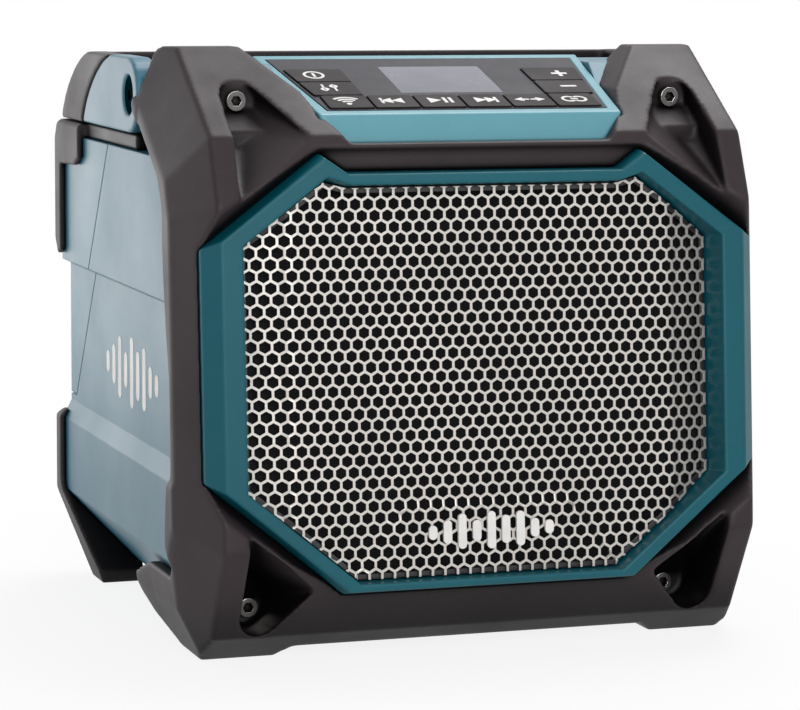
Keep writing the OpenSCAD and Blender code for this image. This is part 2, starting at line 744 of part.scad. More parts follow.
recess_d = 4;

module tongue() {
    along_x(tongue_side, arm_in, arm_in + tongue_t);
}
module core_rod() {
    round_x(core_r, -arm_in - tongue_t, arm_in + tongue_t, core_y, core_z);
}
module handle_frame() {
    color([0.05, 0.4, 0.45]) difference() {
        union() {
            pair() {
                along_x(arm_profile, arm_in, arm_out);
                tongue();
            }
            core_rod();
        }
        pair() round_x(pivot_r + pivot_fit, arm_in - 1, arm_out + 1, pivot_y, pivot_z);
        pair() round_x(head_r + 0.8, arm_out - recess_d, arm_out + 1, pivot_y, pivot_z);
    }
}
module handle_grip() {
    color([0.15, 0.15, 0.15]) difference() {
        union() {
            pair() along_x(grip_side, arm_in, arm_out + grip_proud);
            along_x(bar_ring, -arm_in - 0.5, arm_in + 0.5);
        }
        pair() tongue();
        core_rod();
    }
}
module pivot_screws() {
    color([0.3, 0.3, 0.32]) pair() difference() {
        union() {
            round_x(pivot_r, neck_half - 12, arm_out - recess_d + 0.2, pivot_y, pivot_z);
            round_x(head_r, arm_out - recess_d + 0.2, arm_out - recess_d + 0.2 + head_t, pivot_y, pivot_z);
        }
        translate([arm_out - recess_d + 1.2, pivot_y, pivot_z]) rotate([0, 90, 0])
            cylinder(r = 3, h = 5, $fn = 6);
    }
}

// Rear corner bumpers, cut to the housing behind them
bumper_cut = 3;
module bumper(front, outline, side) {
    color([0.2, 0.19, 0.19]) difference() {
        intersection() {
            along_z([[under_half - 4, front - 30], [half_w, front - 30], [half_w, back_y - bumper_cut],
                [half_w - bumper_cut, back_y], [under_half - 4, back_y]], -1, overall_h);
            along_y(outline, -50, back_y);
            along_x(side, 0, half_w);
        }
        intersection() {
            along_x(grown(block_side, 0.1), -half_w, half_w);
            along_y(grown(block_front, 0.1), front_y, back_y + 20);
        }
    }
}
lug_top = arm_low - move_gap;
lug_front = back_y - 51;
upper_front = back_y - 14;
upper_outline = [[neck_half - 15, upper_bumper_z + 6], [side_half - 8, upper_bumper_z],
    [half_w, upper_bumper_z], [half_w, lug_top - 2], [half_w - 2, lug_top], [neck_half + 0.2, lug_top],
    [neck_half + 0.2, shoulder_z + 2], [neck_half - 15, shoulder_z + 2]];
upper_side = [[upper_front, upper_bumper_z + 2], [upper_front + 4, upper_bumper_z],
    [back_y - 8, upper_bumper_z], [back_y, upper_bumper_z + 10], [back_y, shoulder_z - 6],
    [back_y - 8, lug_top], [lug_front, lug_top], [lug_front, shoulder_z - 9],
    [lug_front + 9, shoulder_z - 13], [upper_front, shoulder_z - 14]];
pad_front = pivot_y - 6;
lower_front = back_y - 12;
lower_outline = [[100, 0], [120, 0], [half_w, taper_z], [half_w, lower_bumper_z - 3],
    [half_w - 3, lower_bumper_z], [100, lower_bumper_z]];
lower_side = [[back_y - 40, 0], [back_y - 18, 0], [back_y, taper_z + 2], [back_y, lower_bumper_z - 5],
    [back_y - 5, lower_bumper_z], [lower_front, lower_bumper_z], [lower_front, taper_z + 4],
    [lower_front - 8, taper_z - 8], [lower_front - 20, taper_z - 26], [lower_front - 28, 6]];
module arm_pad() {
    translate([neck_half + 0.2, pad_front, shoulder_z + 0.1])
        cube([side_half - neck_half - 2, lug_front - pad_front + 2, lug_top - shoulder_z - 0.1]);
}
module upper_bumper_right() {
    color([0.2, 0.19, 0.19]) union() {
        bumper(lug_front, upper_outline, upper_side);
        arm_pad();
    }
}
module upper_bumper_left() { mirror([1, 0, 0]) upper_bumper_right(); }
module lower_bumper_right() { bumper(lower_front, lower_outline, lower_side); }
module lower_bumper_left() { mirror([1, 0, 0]) lower_bumper_right(); }

module frame_screw(place) {
    y0 = seat_y(place);
    difference() {
        union() {
            round_y(4.2, place[0], y0 - 3.4, y0, place[1]);
            round_y(2.5, place[0], y0, block_front_y(place[1]) + 16, place[1]);
        }
        translate([place[0], y0 - 4, place[1]]) rotate([-90, 0, 0]) cylinder(r = 2.3, h = 2.6, $fn = 6);
    }
}
module frame_screws() {
    color([0.6, 0.6, 0.62]) pair() {
        frame_screw(screw_high);
        frame_screw(screw_low);
    }
}

// Battery bay, its contacts, its cover and the latch
module battery_bay() {
    color([0.12, 0.12, 0.13]) difference() {
        union() {
            translate([-cover_half - 5, flange_y - 2, cover_z - 5])
                cube([cover_w + 10, rear_y - wall - flange_y + 2, cover_h + 10]);
            translate([-bay_half - bay_wall, bay_front - bay_wall, bay_low - bay_wall])
                cube([2 * (bay_half + bay_wall), bay_d + bay_wall, bay_high - bay_low + 2 * bay_wall]);
        }
        translate([-bay_half, bay_front, bay_low]) cube([2 * bay_half, bay_d + 10, bay_high - bay_low]);
        translate([-cover_half - move_gap, flange_y, cover_z - move_gap])
            cube([cover_w + 2 * move_gap, 10, cover_h + 2 * move_gap]);
    }
}
block_z = bay_high - 34;
module terminal_block() {
    color([0.05, 0.05, 0.05]) translate([-22, bay_front, block_z]) cube([44, 13, 26]);
}
module terminal_blades() {
    color([0.75, 0.6, 0.3]) for (x = [-11, 0, 11])
        translate([x - 0.5, bay_front + 4, block_z - 12]) cube([1, 7, 12]);
}
latch_z = cover_top - 14;
latch_y = cover_y + lug_r + 0.4;
latch_half = 11;
latch_pin_r = 1.2;
module cover_lug(x0, x1, z) {
    round_x(lug_r, x0, x1, latch_y, z);
    translate([x0, cover_y - 1, z - lug_r]) cube([x1 - x0, latch_y - cover_y + 1, 2 * lug_r]);
}
module battery_cover() {
    color([0.35, 0.5, 0.55]) difference() {
        union() {
            translate([-cover_half, cover_in, cover_z]) cube([cover_w, cover_t, cover_h]);
            pair() {
                round_x(lug_r, knuckle_in, knuckle_out, lug_y, hinge_z);
                translate([knuckle_in, cover_y - 0.5, hinge_z])
                    cube([knuckle_out - knuckle_in, lug_r + 0.9, 9]);
                cover_lug(latch_half + 0.4, latch_half + 5, latch_z);
            }
        }
        pair() round_x(pin_r + pivot_fit, knuckle_in - 1, knuckle_out + 1, lug_y, hinge_z);
        round_x(latch_pin_r, -latch_half - 4, latch_half + 4, latch_y, latch_z);
    }
}
module cover_seal() {
    color([0.1, 0.1, 0.1]) difference() {
        translate([-cover_half + 2, flange_y, cover_z + 1]) cube([cover_w - 4, seal_t, cover_h - 2]);
        translate([-bay_half - 3, flange_y - 1, bay_low - 1])
            cube([2 * bay_half + 6, 5, bay_high - bay_low + 2]);
    }
}
module cover_pin() {
    color([0.7, 0.7, 0.72]) pair() round_x(pin_r, knuckle_in, knuckle_out + 4.5, lug_y, hinge_z);
}
module cover_latch() {
    color([0.2, 0.2, 0.2]) difference() {
        union() {
            round_x(lug_r, -latch_half, latch_half, latch_y, latch_z);
            translate([-latch_half, cover_y + 0.4, latch_z]) cube([2 * latch_half, 3, 22]);
        }
        round_x(latch_pin_r + pivot_fit, -latch_half - 1, latch_half + 1, latch_y, latch_z);
        translate([-latch_half - 1, cover_y, catch_z - 0.6]) cube([2 * latch_half + 2, 1.6, 3.2]);
    }
}
module latch_pin() {
    color([0.7, 0.7, 0.72]) round_x(latch_pin_r, -latch_half - 4, latch_half + 4, latch_y, latch_z);
}

// Inside electronics and the rear connections
module amplifier_board() {
    floor_z = under_z + wall;
    color([0.1, 0.35, 0.15]) translate([0, 0, floor_z]) {
        translate([-60, -30, 0]) cube([120, 70, 1.6]);
        translate([-50, -26, 1]) cube([100, 14, 22]);
        for (x = [-40, -22, 22, 40]) translate([x, 20, 1]) cylinder(r = 6, h = 18);
    }
}
module power_inlet() {
    color([0.05, 0.05, 0.05]) {
        difference() {
            round_y(inlet_r, inlet_x, rear_y - 14, rear_y, port_z);
            round_y(2.9, inlet_x, rear_y - 11, rear_y + 1, port_z);
        }
        round_y(1, inlet_x, rear_y - 12, rear_y - 1, port_z);
    }
}
module audio_jack() {
    color([0.05, 0.05, 0.05]) difference() {
        round_y(jack_r, jack_x, rear_y - 18, rear_y, port_z);
        round_y(1.8, jack_x, rear_y - 16, rear_y + 1, port_z);
    }
}
module port_cover() {
    color([0.15, 0.15, 0.15]) difference() {
        union() {
            translate([port_left + 0.4, rear_y + 0.3, port_z - 12]) cube([port_w - 0.8, 3, 24]);
            round_x(lug_r, port_left + 0.4, port_right - 0.4, lug_y, port_pin_z);
            translate([port_left + 0.4, rear_y + 0.8, port_pin_z]) cube([port_w - 0.8, 2.4, 6]);
        }
        round_x(port_pin_r + pivot_fit, port_left, port_right, lug_y, port_pin_z);
    }
}
module port_pin() {
    color([0.7, 0.7, 0.72]) round_x(port_pin_r, port_left - 3.5, port_right + 3.5, lug_y, port_pin_z);
}

main_housing();
rear_housing();
front_frame();
bezel();
grille();
grille_cloth();
baffle();
woofer_frame();
woofer_magnet();
woofer_cone();
woofer_surround();
dust_cap();
tweeter();
console();
panel_plate();
display_lens();
display_module();
key_mat();
control_board();
key_power();
key_sound();
key_wireless();
key_previous();
key_play();
key_next();
key_channel();
key_link();
key_plus();
key_minus();
handle_frame();
handle_grip();
pivot_screws();
upper_bumper_left();
upper_bumper_right();
lower_bumper_left();
lower_bumper_right();
frame_screws();
battery_bay();
terminal_block();
terminal_blades();
battery_cover();
cover_seal();
cover_pin();
cover_latch();
latch_pin();
amplifier_board();
power_inlet();
audio_jack();
port_cover();
port_pin();
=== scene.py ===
import json
import math

import bmesh
import bpy
from mathutils import Matrix, Vector


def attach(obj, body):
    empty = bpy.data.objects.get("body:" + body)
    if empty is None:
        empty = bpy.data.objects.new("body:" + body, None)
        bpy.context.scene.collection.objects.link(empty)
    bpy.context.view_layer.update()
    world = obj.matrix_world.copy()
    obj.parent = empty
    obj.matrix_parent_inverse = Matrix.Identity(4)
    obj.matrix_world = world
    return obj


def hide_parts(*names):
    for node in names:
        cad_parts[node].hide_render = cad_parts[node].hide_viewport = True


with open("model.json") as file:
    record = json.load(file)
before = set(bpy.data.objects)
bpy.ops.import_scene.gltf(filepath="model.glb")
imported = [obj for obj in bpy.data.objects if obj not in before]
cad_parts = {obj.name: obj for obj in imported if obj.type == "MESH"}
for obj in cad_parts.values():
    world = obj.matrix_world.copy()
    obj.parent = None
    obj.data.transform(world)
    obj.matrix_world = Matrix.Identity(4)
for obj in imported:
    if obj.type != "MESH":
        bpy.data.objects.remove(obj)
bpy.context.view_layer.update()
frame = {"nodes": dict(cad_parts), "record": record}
nodes = frame["nodes"]
bodyOf = {node: body for body, owned in frame["record"]["behaviour"]["bodies"].items() for node in owned}
mm = 0.001
weldDistance = 1e-6
print("frame loaded:", len(nodes), "nodes")


# Helpers for bmesh geometry
def everything(bm):
    return bm.verts[:] + bm.edges[:] + bm.faces[:]


def onlyVerts(geom):
    return [item for item in geom if isinstance(item, bmesh.types.BMVert)]


# Camera at the photograph's place and angle
cameraLook = {
    "place": (-0.4721, -1.378, 0.3043),
    "azimuth": -18.87,
    "elevation": 7.38,
    "roll": 0.396,
    "lens": 144.6,
    "sensor": 36.0,
}


def makeCamera(look):
    turn, lift, roll = (math.radians(look[k]) for k in ("azimuth", "elevation", "roll"))
    back = Vector((math.sin(turn) * math.cos(lift), -math.cos(turn) * math.cos(lift), math.sin(lift)))
    right = Vector((math.cos(turn), math.sin(turn), 0))
    up = back.cross(right)
    across = right * math.cos(roll) + up * math.sin(roll)
    upward = up * math.cos(roll) - right * math.sin(roll)
    lens = bpy.data.cameras.new("photoCamera")
    lens.lens = look["lens"]
    lens.sensor_width = look["sensor"]
    camera = bpy.data.objects.new("photoCamera", lens)
    turned = Matrix((across, upward, back)).transposed().to_4x4()
    camera.matrix_world = Matrix.Translation(look["place"]) @ turned
    bpy.context.scene.collection.objects.link(camera)
    bpy.context.scene.camera = camera


makeCamera(cameraLook)
print("camera placed")


# Helpers for node trees
def tint(red, green, blue):
    def linear(value):
        part = value / 255
        return part / 12.92 if part <= 0.04045 else ((part + 0.055) / 1.055) ** 2.4
    return (linear(red), linear(green), linear(blue), 1.0)


def addNode(tree, kind, values=(), **settings):
    node = tree.nodes.new(kind)
    for name, value in settings.items():
        setattr(node, name, value)
    for name, value in dict(values).items():
        node.inputs[name].default_value = value
    return node


def addGroup(tree, group, values=()):
    return addNode(tree, "ShaderNodeGroup", values, node_tree=group)


# Sockets of a colour Mix node: factor, two colours in, one colour out
mixFactor, mixFirst, mixSecond, mixResult = 0, 6, 7, 2


def addMix(tree, first=None, second=None):
    node = addNode(tree, "ShaderNodeMix", data_type="RGBA")
    for socket, colour in ((mixFirst, first), (mixSecond, second)):
        if colour:
            node.inputs[socket].default_value = tint(*colour)
    return node


def newMaterial(name):
    material = bpy.data.materials.new(name)
    material.use_nodes = True
    tree = material.node_tree
    return material, tree, tree.links.new, tree.nodes["Principled BSDF"]


def newGroup(name, inputs, outputs):
    group = bpy.data.node_groups.new(name, "ShaderNodeTree")
    for socket, kind, value in inputs:
        made = group.interface.new_socket(name=socket, in_out="INPUT", socket_type=kind)
        made.default_value = value
    for socket, kind in outputs:
        group.interface.new_socket(name=socket, in_out="OUTPUT", socket_type=kind)
    return group, group.nodes.new("NodeGroupInput"), group.nodes.new("NodeGroupOutput")


# Moulded grain, slow tone patches and sparse hairline scuffs, all from Object coordinates
def makeSurfaceGroup():
    group, given, result = newGroup(
        "mouldedSurface",
        [("Grain Scale", "NodeSocketFloat", 1400.0), ("Patch Scale", "NodeSocketFloat", 14.0),
         ("Scuff Scale", "NodeSocketFloat", 46.0)],
        [("Grain", "NodeSocketFloat"), ("Patch", "NodeSocketFloat"), ("Scuff", "NodeSocketFloat")])
    link = group.links.new
    place = addNode(group, "ShaderNodeTexCoord")
    grain = addNode(group, "ShaderNodeTexNoise", {"Detail": 2.0, "Roughness": 0.6})
    pits = addNode(group, "ShaderNodeTexVoronoi", feature="SMOOTH_F1")
    both = addNode(group, "ShaderNodeMath", {2: 0.55}, operation="MULTIPLY_ADD")
    patch = addNode(group, "ShaderNodeTexNoise", {"Detail": 5.0, "Roughness": 0.62})
    spread = addNode(group, "ShaderNodeMapRange", {"From Min": 0.32, "From Max": 0.68})
    stretch = addNode(group, "ShaderNodeMapping", {"Scale": (1.0, 1.0, 11.0), "Rotation": (0.5, 0.9, 0.2)})
    scuff = addNode(group, "ShaderNodeTexNoise", {"Detail": 6.0, "Roughness": 0.72})
    where = addNode(group, "ShaderNodeMapRange", {"From Min": 0.5, "From Max": 0.75})
    ramp = addNode(group, "ShaderNodeMapRange", {"From Min": 0.60, "From Max": 0.74})
    sparse = addNode(group, "ShaderNodeMath", operation="MULTIPLY")
    for noise, scale in ((grain, "Grain Scale"), (pits, "Grain Scale"), (patch, "Patch Scale")):
        link(place.outputs["Object"], noise.inputs["Vector"])
        link(given.outputs[scale], noise.inputs["Scale"])
    link(grain.outputs["Fac"], both.inputs[0])
    link(pits.outputs["Distance"], both.inputs[1])
    link(patch.outputs["Fac"], spread.inputs["Value"])
    link(patch.outputs["Fac"], where.inputs["Value"])
    link(place.outputs["Object"], stretch.inputs["Vector"])
    link(stretch.outputs["Vector"], scuff.inputs["Vector"])
    link(given.outputs["Scuff Scale"], scuff.inputs["Scale"])
    link(scuff.outputs["Fac"], ramp.inputs["Value"])
    link(ramp.outputs["Result"], sparse.inputs[0])
    link(where.outputs["Result"], sparse.inputs[1])
    link(both.outputs[0], result.inputs["Grain"])
    link(spread.outputs["Result"], result.inputs["Patch"])
    link(sparse.outputs[0], result.inputs["Scuff"])
    return group


# Rounded moulded edges, with a mask that is 1 along them
def makeEdgeGroup():
    group, given, result = newGroup(
        "roundedEdge",
        [("Radius", "NodeSocketFloat", 0.001)],
        [("Normal", "NodeSocketVector"), ("Edge", "NodeSocketFloat")])
    link = group.links.new
    soft = addNode(group, "ShaderNodeBevel", samples=6)
    flat = addNode(group, "ShaderNodeNewGeometry")
    dot = addNode(group, "ShaderNodeVectorMath", operation="DOT_PRODUCT")
    ramp = addNode(group, "ShaderNodeMapRange", {"From Min": 0.99, "From Max": 0.84})
    link(given.outputs["Radius"], soft.inputs["Radius"])
    link(soft.outputs["Normal"], dot.inputs[0])
    link(flat.outputs["Normal"], dot.inputs[1])
    link(dot.outputs["Value"], ramp.inputs["Value"])
    link(soft.outputs["Normal"], result.inputs["Normal"])
    link(ramp.outputs["Result"], result.inputs["Edge"])
    return group


# Painted shade for pockets and sockets, from ambient occlusion: open to the air is 1, deep in a pocket is 0
def makePocketShadeGroup():
    group, given, result = newGroup(
        "paintedPocketShade",
        [("Reach", "NodeSocketFloat", 0.03)],
        [("Open", "NodeSocketFloat")])
    link = group.links.new
    shut = addNode(group, "ShaderNodeAmbientOcclusion", samples=6)
    ramp = addNode(group, "ShaderNodeMapRange", {"From Min": 0.5, "From Max": 0.84})
    link(given.outputs["Reach"], shut.inputs["Distance"])
    link(shut.outputs["AO"], ramp.inputs["Value"])
    link(ramp.outputs["Result"], result.inputs["Open"])
    return group


surfaceGroup = makeSurfaceGroup()
edgeGroup = makeEdgeGroup()
pocketShadeGroup = makePocketShadeGroup()


# What all finishes share
finishRules = {"metallic": 0.0, "specular": 0.5, "scuff": 0.18, "scuffDull": 0.16, "grainDepth": 0.0004}


# One finish: base tone, patches, grain in the bump, rubbed edges lightened as wear and as a painted edge
# highlight, hairline scuffs, painted shade darkening the pockets
def makeFinish(name, look):
    material, tree, link, shader = newMaterial(name)
    shader.inputs["Metallic"].default_value = look.get("metallic", finishRules["metallic"])
    shader.inputs["Specular IOR Level"].default_value = look.get("specular", finishRules["specular"])
    surface = addGroup(tree, surfaceGroup, {"Grain Scale": look["grain"], "Patch Scale": look["patch"]})
    edge = addGroup(tree, edgeGroup, {"Radius": look["edge"]})
    tone = addMix(tree, look["colour"], look["shade"])
    # Edges and scuffs are lightened towards a paler tone, as wear and as a painted edge highlight
    edgeWearAndHighlight = addNode(tree, "ShaderNodeMath", {1: look["wearAndHighlight"]}, operation="MULTIPLY")
    scratched = addNode(tree, "ShaderNodeMath", {1: finishRules["scuff"]}, operation="MULTIPLY")
    mark = addNode(tree, "ShaderNodeMath", operation="MAXIMUM")
    wornAndHighlit = addMix(tree, second=look["rubAndHighlight"])
    rough = addNode(tree, "ShaderNodeMapRange", {"To Min": look["rough"][0], "To Max": look["rough"][1]})
    dulled = addNode(tree, "ShaderNodeMath", {1: finishRules["scuffDull"]}, operation="MULTIPLY_ADD")
    bump = addNode(tree, "ShaderNodeBump", {"Strength": look["bump"], "Distance": finishRules["grainDepth"]})
    link(surface.outputs["Patch"], tone.inputs[mixFactor])
    link(tone.outputs[mixResult], wornAndHighlit.inputs[mixFirst])
    link(edge.outputs["Edge"], edgeWearAndHighlight.inputs[0])
    link(surface.outputs["Scuff"], scratched.inputs[0])
    link(edgeWearAndHighlight.outputs[0], mark.inputs[0])
    link(scratched.outputs[0], mark.inputs[1])
    link(mark.outputs[0], wornAndHighlit.inputs[mixFactor])
    shown = wornAndHighlit
    # Painted shade: a dark tone is mixed into the base colour where ambient occlusion finds a pocket or socket
    if "paintedShade" in look:
        pocketShade = addGroup(tree, pocketShadeGroup, {"Reach": look["reach"]})
        shown = addMix(tree, first=look["paintedShade"])
        link(pocketShade.outputs["Open"], shown.inputs[mixFactor])
        link(wornAndHighlit.outputs[mixResult], shown.inputs[mixSecond])
    link(shown.outputs[mixResult], shader.inputs["Base Color"])
    link(surface.outputs["Patch"], rough.inputs["Value"])
    link(surface.outputs["Scuff"], dulled.inputs[0])
    link(rough.outputs["Result"], dulled.inputs[2])
    link(dulled.outputs[0], shader.inputs["Roughness"])
    link(surface.outputs["Grain"], bump.inputs["Height"])
    link(edge.outputs["Normal"], bump.inputs["Normal"])
    link(bump.outputs["Normal"], shader.inputs["Normal"])
    return material


finishLooks = {
    "tealSide": {"colour": (46, 104, 124), "shade": (39, 95, 115), "rubAndHighlight": (104, 164, 176), "wearAndHighlight": 0.22,
                 "rough": (0.36, 0.46), "grain": 1500.0, "patch": 11.0, "bump": 0.14, "edge": 0.0012},
    "tealTrim": {"colour": (0, 84, 96), "shade": (0, 76, 88), "rubAndHighlight": (84, 160, 174), "wearAndHighlight": 0.38,
                 "rough": (0.36, 0.48), "grain": 1500.0, "patch": 13.0, "bump": 0.12, "edge": 0.0010,
                 "specular": 0.28},
    "tealConsole": {"colour": (92, 152, 165), "shade": (84, 143, 156), "rubAndHighlight": (128, 188, 198), "wearAndHighlight": 0.4,
                    "rough": (0.34, 0.46), "grain": 1500.0, "patch": 17.0, "bump": 0.1, "edge": 0.0008},
    # Black rubber: its dark pocket tone is painted shade in the frame's pockets
    "blackRubber": {"colour": (50, 42, 45), "shade": (43, 36, 39), "rubAndHighlight": (88, 82, 81), "wearAndHighlight": 0.3,
                    "rough": (0.4, 0.54), "grain": 1200.0, "patch": 16.0, "bump": 0.2, "edge": 0.0014,
                    "specular": 0.2, "paintedShade": (8, 5, 6), "reach": 0.04},
    "blackPlastic": {"colour": (34, 33, 35), "shade": (27, 27, 29), "rubAndHighlight": (70, 70, 72), "wearAndHighlight": 0.3,
                     "rough": (0.42, 0.55), "grain": 1400.0, "patch": 20.0, "bump": 0.15, "edge": 0.0008},
    "meshSteel": {"colour": (196, 191, 186), "shade": (178, 174, 169), "rubAndHighlight": (226, 223, 219), "wearAndHighlight": 0.35,
                  "rough": (0.36, 0.48), "grain": 1700.0, "patch": 24.0, "bump": 0.06, "edge": 0.0002,
                  "metallic": 0.55},
    "panelDark": {"colour": (42, 40, 49), "shade": (37, 35, 43), "rubAndHighlight": (108, 104, 112), "wearAndHighlight": 0.25,
                  "rough": (0.34, 0.44), "grain": 1600.0, "patch": 30.0, "bump": 0.08, "edge": 0.0005,
                  "specular": 0.13},
    "keyRubber": {"colour": (36, 31, 33), "shade": (31, 27, 28), "rubAndHighlight": (92, 86, 87), "wearAndHighlight": 0.3,
                  "rough": (0.46, 0.58), "grain": 1500.0, "patch": 40.0, "bump": 0.14, "edge": 0.0006,
                  "specular": 0.11},
    "printWhite": {"colour": (226, 224, 221), "shade": (213, 212, 210), "rubAndHighlight": (238, 237, 235), "wearAndHighlight": 0.2,
                   "rough": (0.42, 0.54), "grain": 1500.0, "patch": 60.0, "bump": 0.08, "edge": 0.0001},
    # Pivot caps: near-black teal as painted shade of their deep recesses, with more painted shade from the
    # pocket tone
    "shadedPivotTeal": {"colour": (6, 34, 42), "shade": (4, 26, 33), "rubAndHighlight": (50, 96, 106), "wearAndHighlight": 0.3,
                  "rough": (0.26, 0.4), "grain": 1600.0, "patch": 60.0, "bump": 0.06, "edge": 0.0005,
                  "specular": 0.0, "paintedShade": (2, 12, 15), "reach": 0.012},
    # Frame screws: the pale edge tone is a painted highlight rim, and the near-black pocket tone is painted
    # shade in the socket
    "darkSteel": {"colour": (112, 110, 108), "shade": (84, 82, 81), "rubAndHighlight": (236, 234, 232), "wearAndHighlight": 0.85,
                  "rough": (0.16, 0.28), "grain": 1800.0, "patch": 80.0, "bump": 0.05, "edge": 0.0005,
                  "metallic": 1.0, "paintedShade": (9, 9, 9), "reach": 0.004},
    "plainSteel": {"colour": (168, 166, 164), "shade": (140, 139, 138), "rubAndHighlight": (210, 209, 207), "wearAndHighlight": 0.4,
                   "rough": (0.26, 0.42), "grain": 1800.0, "patch": 80.0, "bump": 0.05, "edge": 0.0004,
                   "metallic": 1.0},
    "contactBrass": {"colour": (196, 158, 92), "shade": (170, 132, 74), "rubAndHighlight": (226, 196, 132), "wearAndHighlight": 0.4,
                     "rough": (0.24, 0.38), "grain": 1800.0, "patch": 90.0, "bump": 0.05, "edge": 0.0003,
                     "metallic": 1.0},
    "boardGreen": {"colour": (22, 82, 46), "shade": (16, 66, 38), "rubAndHighlight": (60, 120, 84), "wearAndHighlight": 0.2,
                   "rough": (0.34, 0.46), "grain": 1500.0, "patch": 60.0, "bump": 0.1, "edge": 0.0003},
    "driverMetal": {"colour": (74, 74, 78), "shade": (60, 60, 64), "rubAndHighlight": (130, 130, 132), "wearAndHighlight": 0.3,
                    "rough": (0.36, 0.5), "grain": 1500.0, "patch": 30.0, "bump": 0.1, "edge": 0.0006,
                    "metallic": 0.6},
    "conePaper": {"colour": (40, 40, 42), "shade": (31, 31, 33), "rubAndHighlight": (60, 60, 62), "wearAndHighlight": 0.2,
                  "rough": (0.6, 0.76), "grain": 900.0, "patch": 70.0, "bump": 0.35, "edge": 0.0004},
}
finishes = {name: makeFinish(name, look) for name, look in finishLooks.items()}
print("finishes made:", len(finishes))


# Grey display window: a fine cell grid under a clear coat, paler towards its rear edge
displayLook = {"near": (72, 73, 90), "far": (96, 97, 113), "nearY": -62.0, "farY": -30.0,
               "line": (60, 61, 78), "waveScale": 1150.0 / 3.0, "lineFrom": 0.8, "lineTo": 0.97,
               "lineStrength": 0.35, "coat": 0.2, "coatRough": 0.05, "rough": (0.2, 0.3), "grain": 700.0,
               "patch": 35.0}


def makeDisplayFinish(look):
    material, tree, link, shader = newMaterial("displayWindow")
    shader.inputs["Coat Weight"].default_value = look["coat"]
    shader.inputs["Coat Roughness"].default_value = look["coatRough"]
    surface = addGroup(tree, surfaceGroup, {"Grain Scale": look["grain"], "Patch Scale": look["patch"]})
    place = addNode(tree, "ShaderNodeTexCoord")
    axes = addNode(tree, "ShaderNodeSeparateXYZ")
    fade = addNode(tree, "ShaderNodeMapRange", {"From Min": look["nearY"] * mm, "From Max": look["farY"] * mm})
    tone = addMix(tree, look["near"], look["far"])
    grid = addMix(tree, second=look["line"])
    lines = addNode(tree, "ShaderNodeMath", operation="MAXIMUM")
    faint = addNode(tree, "ShaderNodeMath", {1: look["lineStrength"]}, operation="MULTIPLY")
    rough = addNode(tree, "ShaderNodeMapRange", {"To Min": look["rough"][0], "To Max": look["rough"][1]})
    link(place.outputs["Object"], axes.inputs[0])
    link(axes.outputs["Y"], fade.inputs["Value"])
    link(fade.outputs["Result"], tone.inputs[mixFactor])
    for way, socket in (("X", 0), ("Y", 1)):
        wave = addNode(tree, "ShaderNodeTexWave", {"Scale": look["waveScale"]}, bands_direction=way)
        thin = addNode(tree, "ShaderNodeMapRange", {"From Min": look["lineFrom"], "From Max": look["lineTo"]})
        link(place.outputs["Object"], wave.inputs["Vector"])
        link(wave.outputs["Fac"], thin.inputs["Value"])
        link(thin.outputs["Result"], lines.inputs[socket])
    link(lines.outputs[0], faint.inputs[0])
    link(faint.outputs[0], grid.inputs[mixFactor])
    link(tone.outputs[mixResult], grid.inputs[mixFirst])
    link(grid.outputs[mixResult], shader.inputs["Base Color"])
    link(surface.outputs["Patch"], rough.inputs["Value"])
    link(rough.outputs["Result"], shader.inputs["Roughness"])
    return material


finishes["displayWindow"] = makeDisplayFinish(displayLook)

# Which CAD node wears which finish
nodeFinish = {
    "tealSide": ["main_housing", "rear_housing", "battery_cover", "handle_frame"],
    "tealTrim": ["bezel"],
    "tealConsole": ["console"],
    "blackRubber": ["front_frame", "upper_bumper_left", "upper_bumper_right", "lower_bumper_left",
                    "lower_bumper_right", "handle_grip", "cover_seal", "port_cover"],
    "blackPlastic": ["baffle", "battery_bay", "terminal_block", "cover_latch", "power_inlet", "audio_jack",
                     "display_module"],
    "panelDark": ["panel_plate"],
    "displayWindow": ["display_lens"],
    "keyRubber": ["key_mat", "key_power", "key_sound", "key_wireless", "key_previous", "key_play", "key_next",
                  "key_channel", "key_link", "key_plus", "key_minus"],
    "shadedPivotTeal": ["pivot_screws"],
    "darkSteel": ["frame_screws"],
    "plainSteel": ["cover_pin", "latch_pin", "port_pin"],
    "contactBrass": ["terminal_blades"],
    "boardGreen": ["control_board", "amplifier_board"],
    "driverMetal": ["woofer_frame", "woofer_magnet"],
    "conePaper": ["woofer_cone", "woofer_surround", "dust_cap", "tweeter"],
}
finishOf = {}
for finishName, wearers in nodeFinish.items():
    for wearer in wearers:
        finishOf[wearer] = finishName
        nodes[wearer].data.materials.clear()
        nodes[wearer].data.materials.append(finishes[finishName])


def finishPiece(bm, name, finish, body):
    mesh = bpy.data.meshes.new(name)
    bm.to_mesh(mesh)
    bm.free()
    mesh.materials.append(finishes[finish])
    piece = bpy.data.objects.new(name, mesh)
    bpy.context.scene.collection.objects.link(piece)
    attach(piece, body)
    return piece


# Hard mouldings get a small bevel along their long outer edges
bevelLooks = {
    "bezel": {"radius": 0.9, "least": 2.0, "slot": "teal_trim"},
    "console": {"radius": 0.7, "least": 1.5, "slot": "teal_trim"},
}
bevelRules = {"flatAngle": 1.0, "sharpAngle": 24.0, "segments": 3}


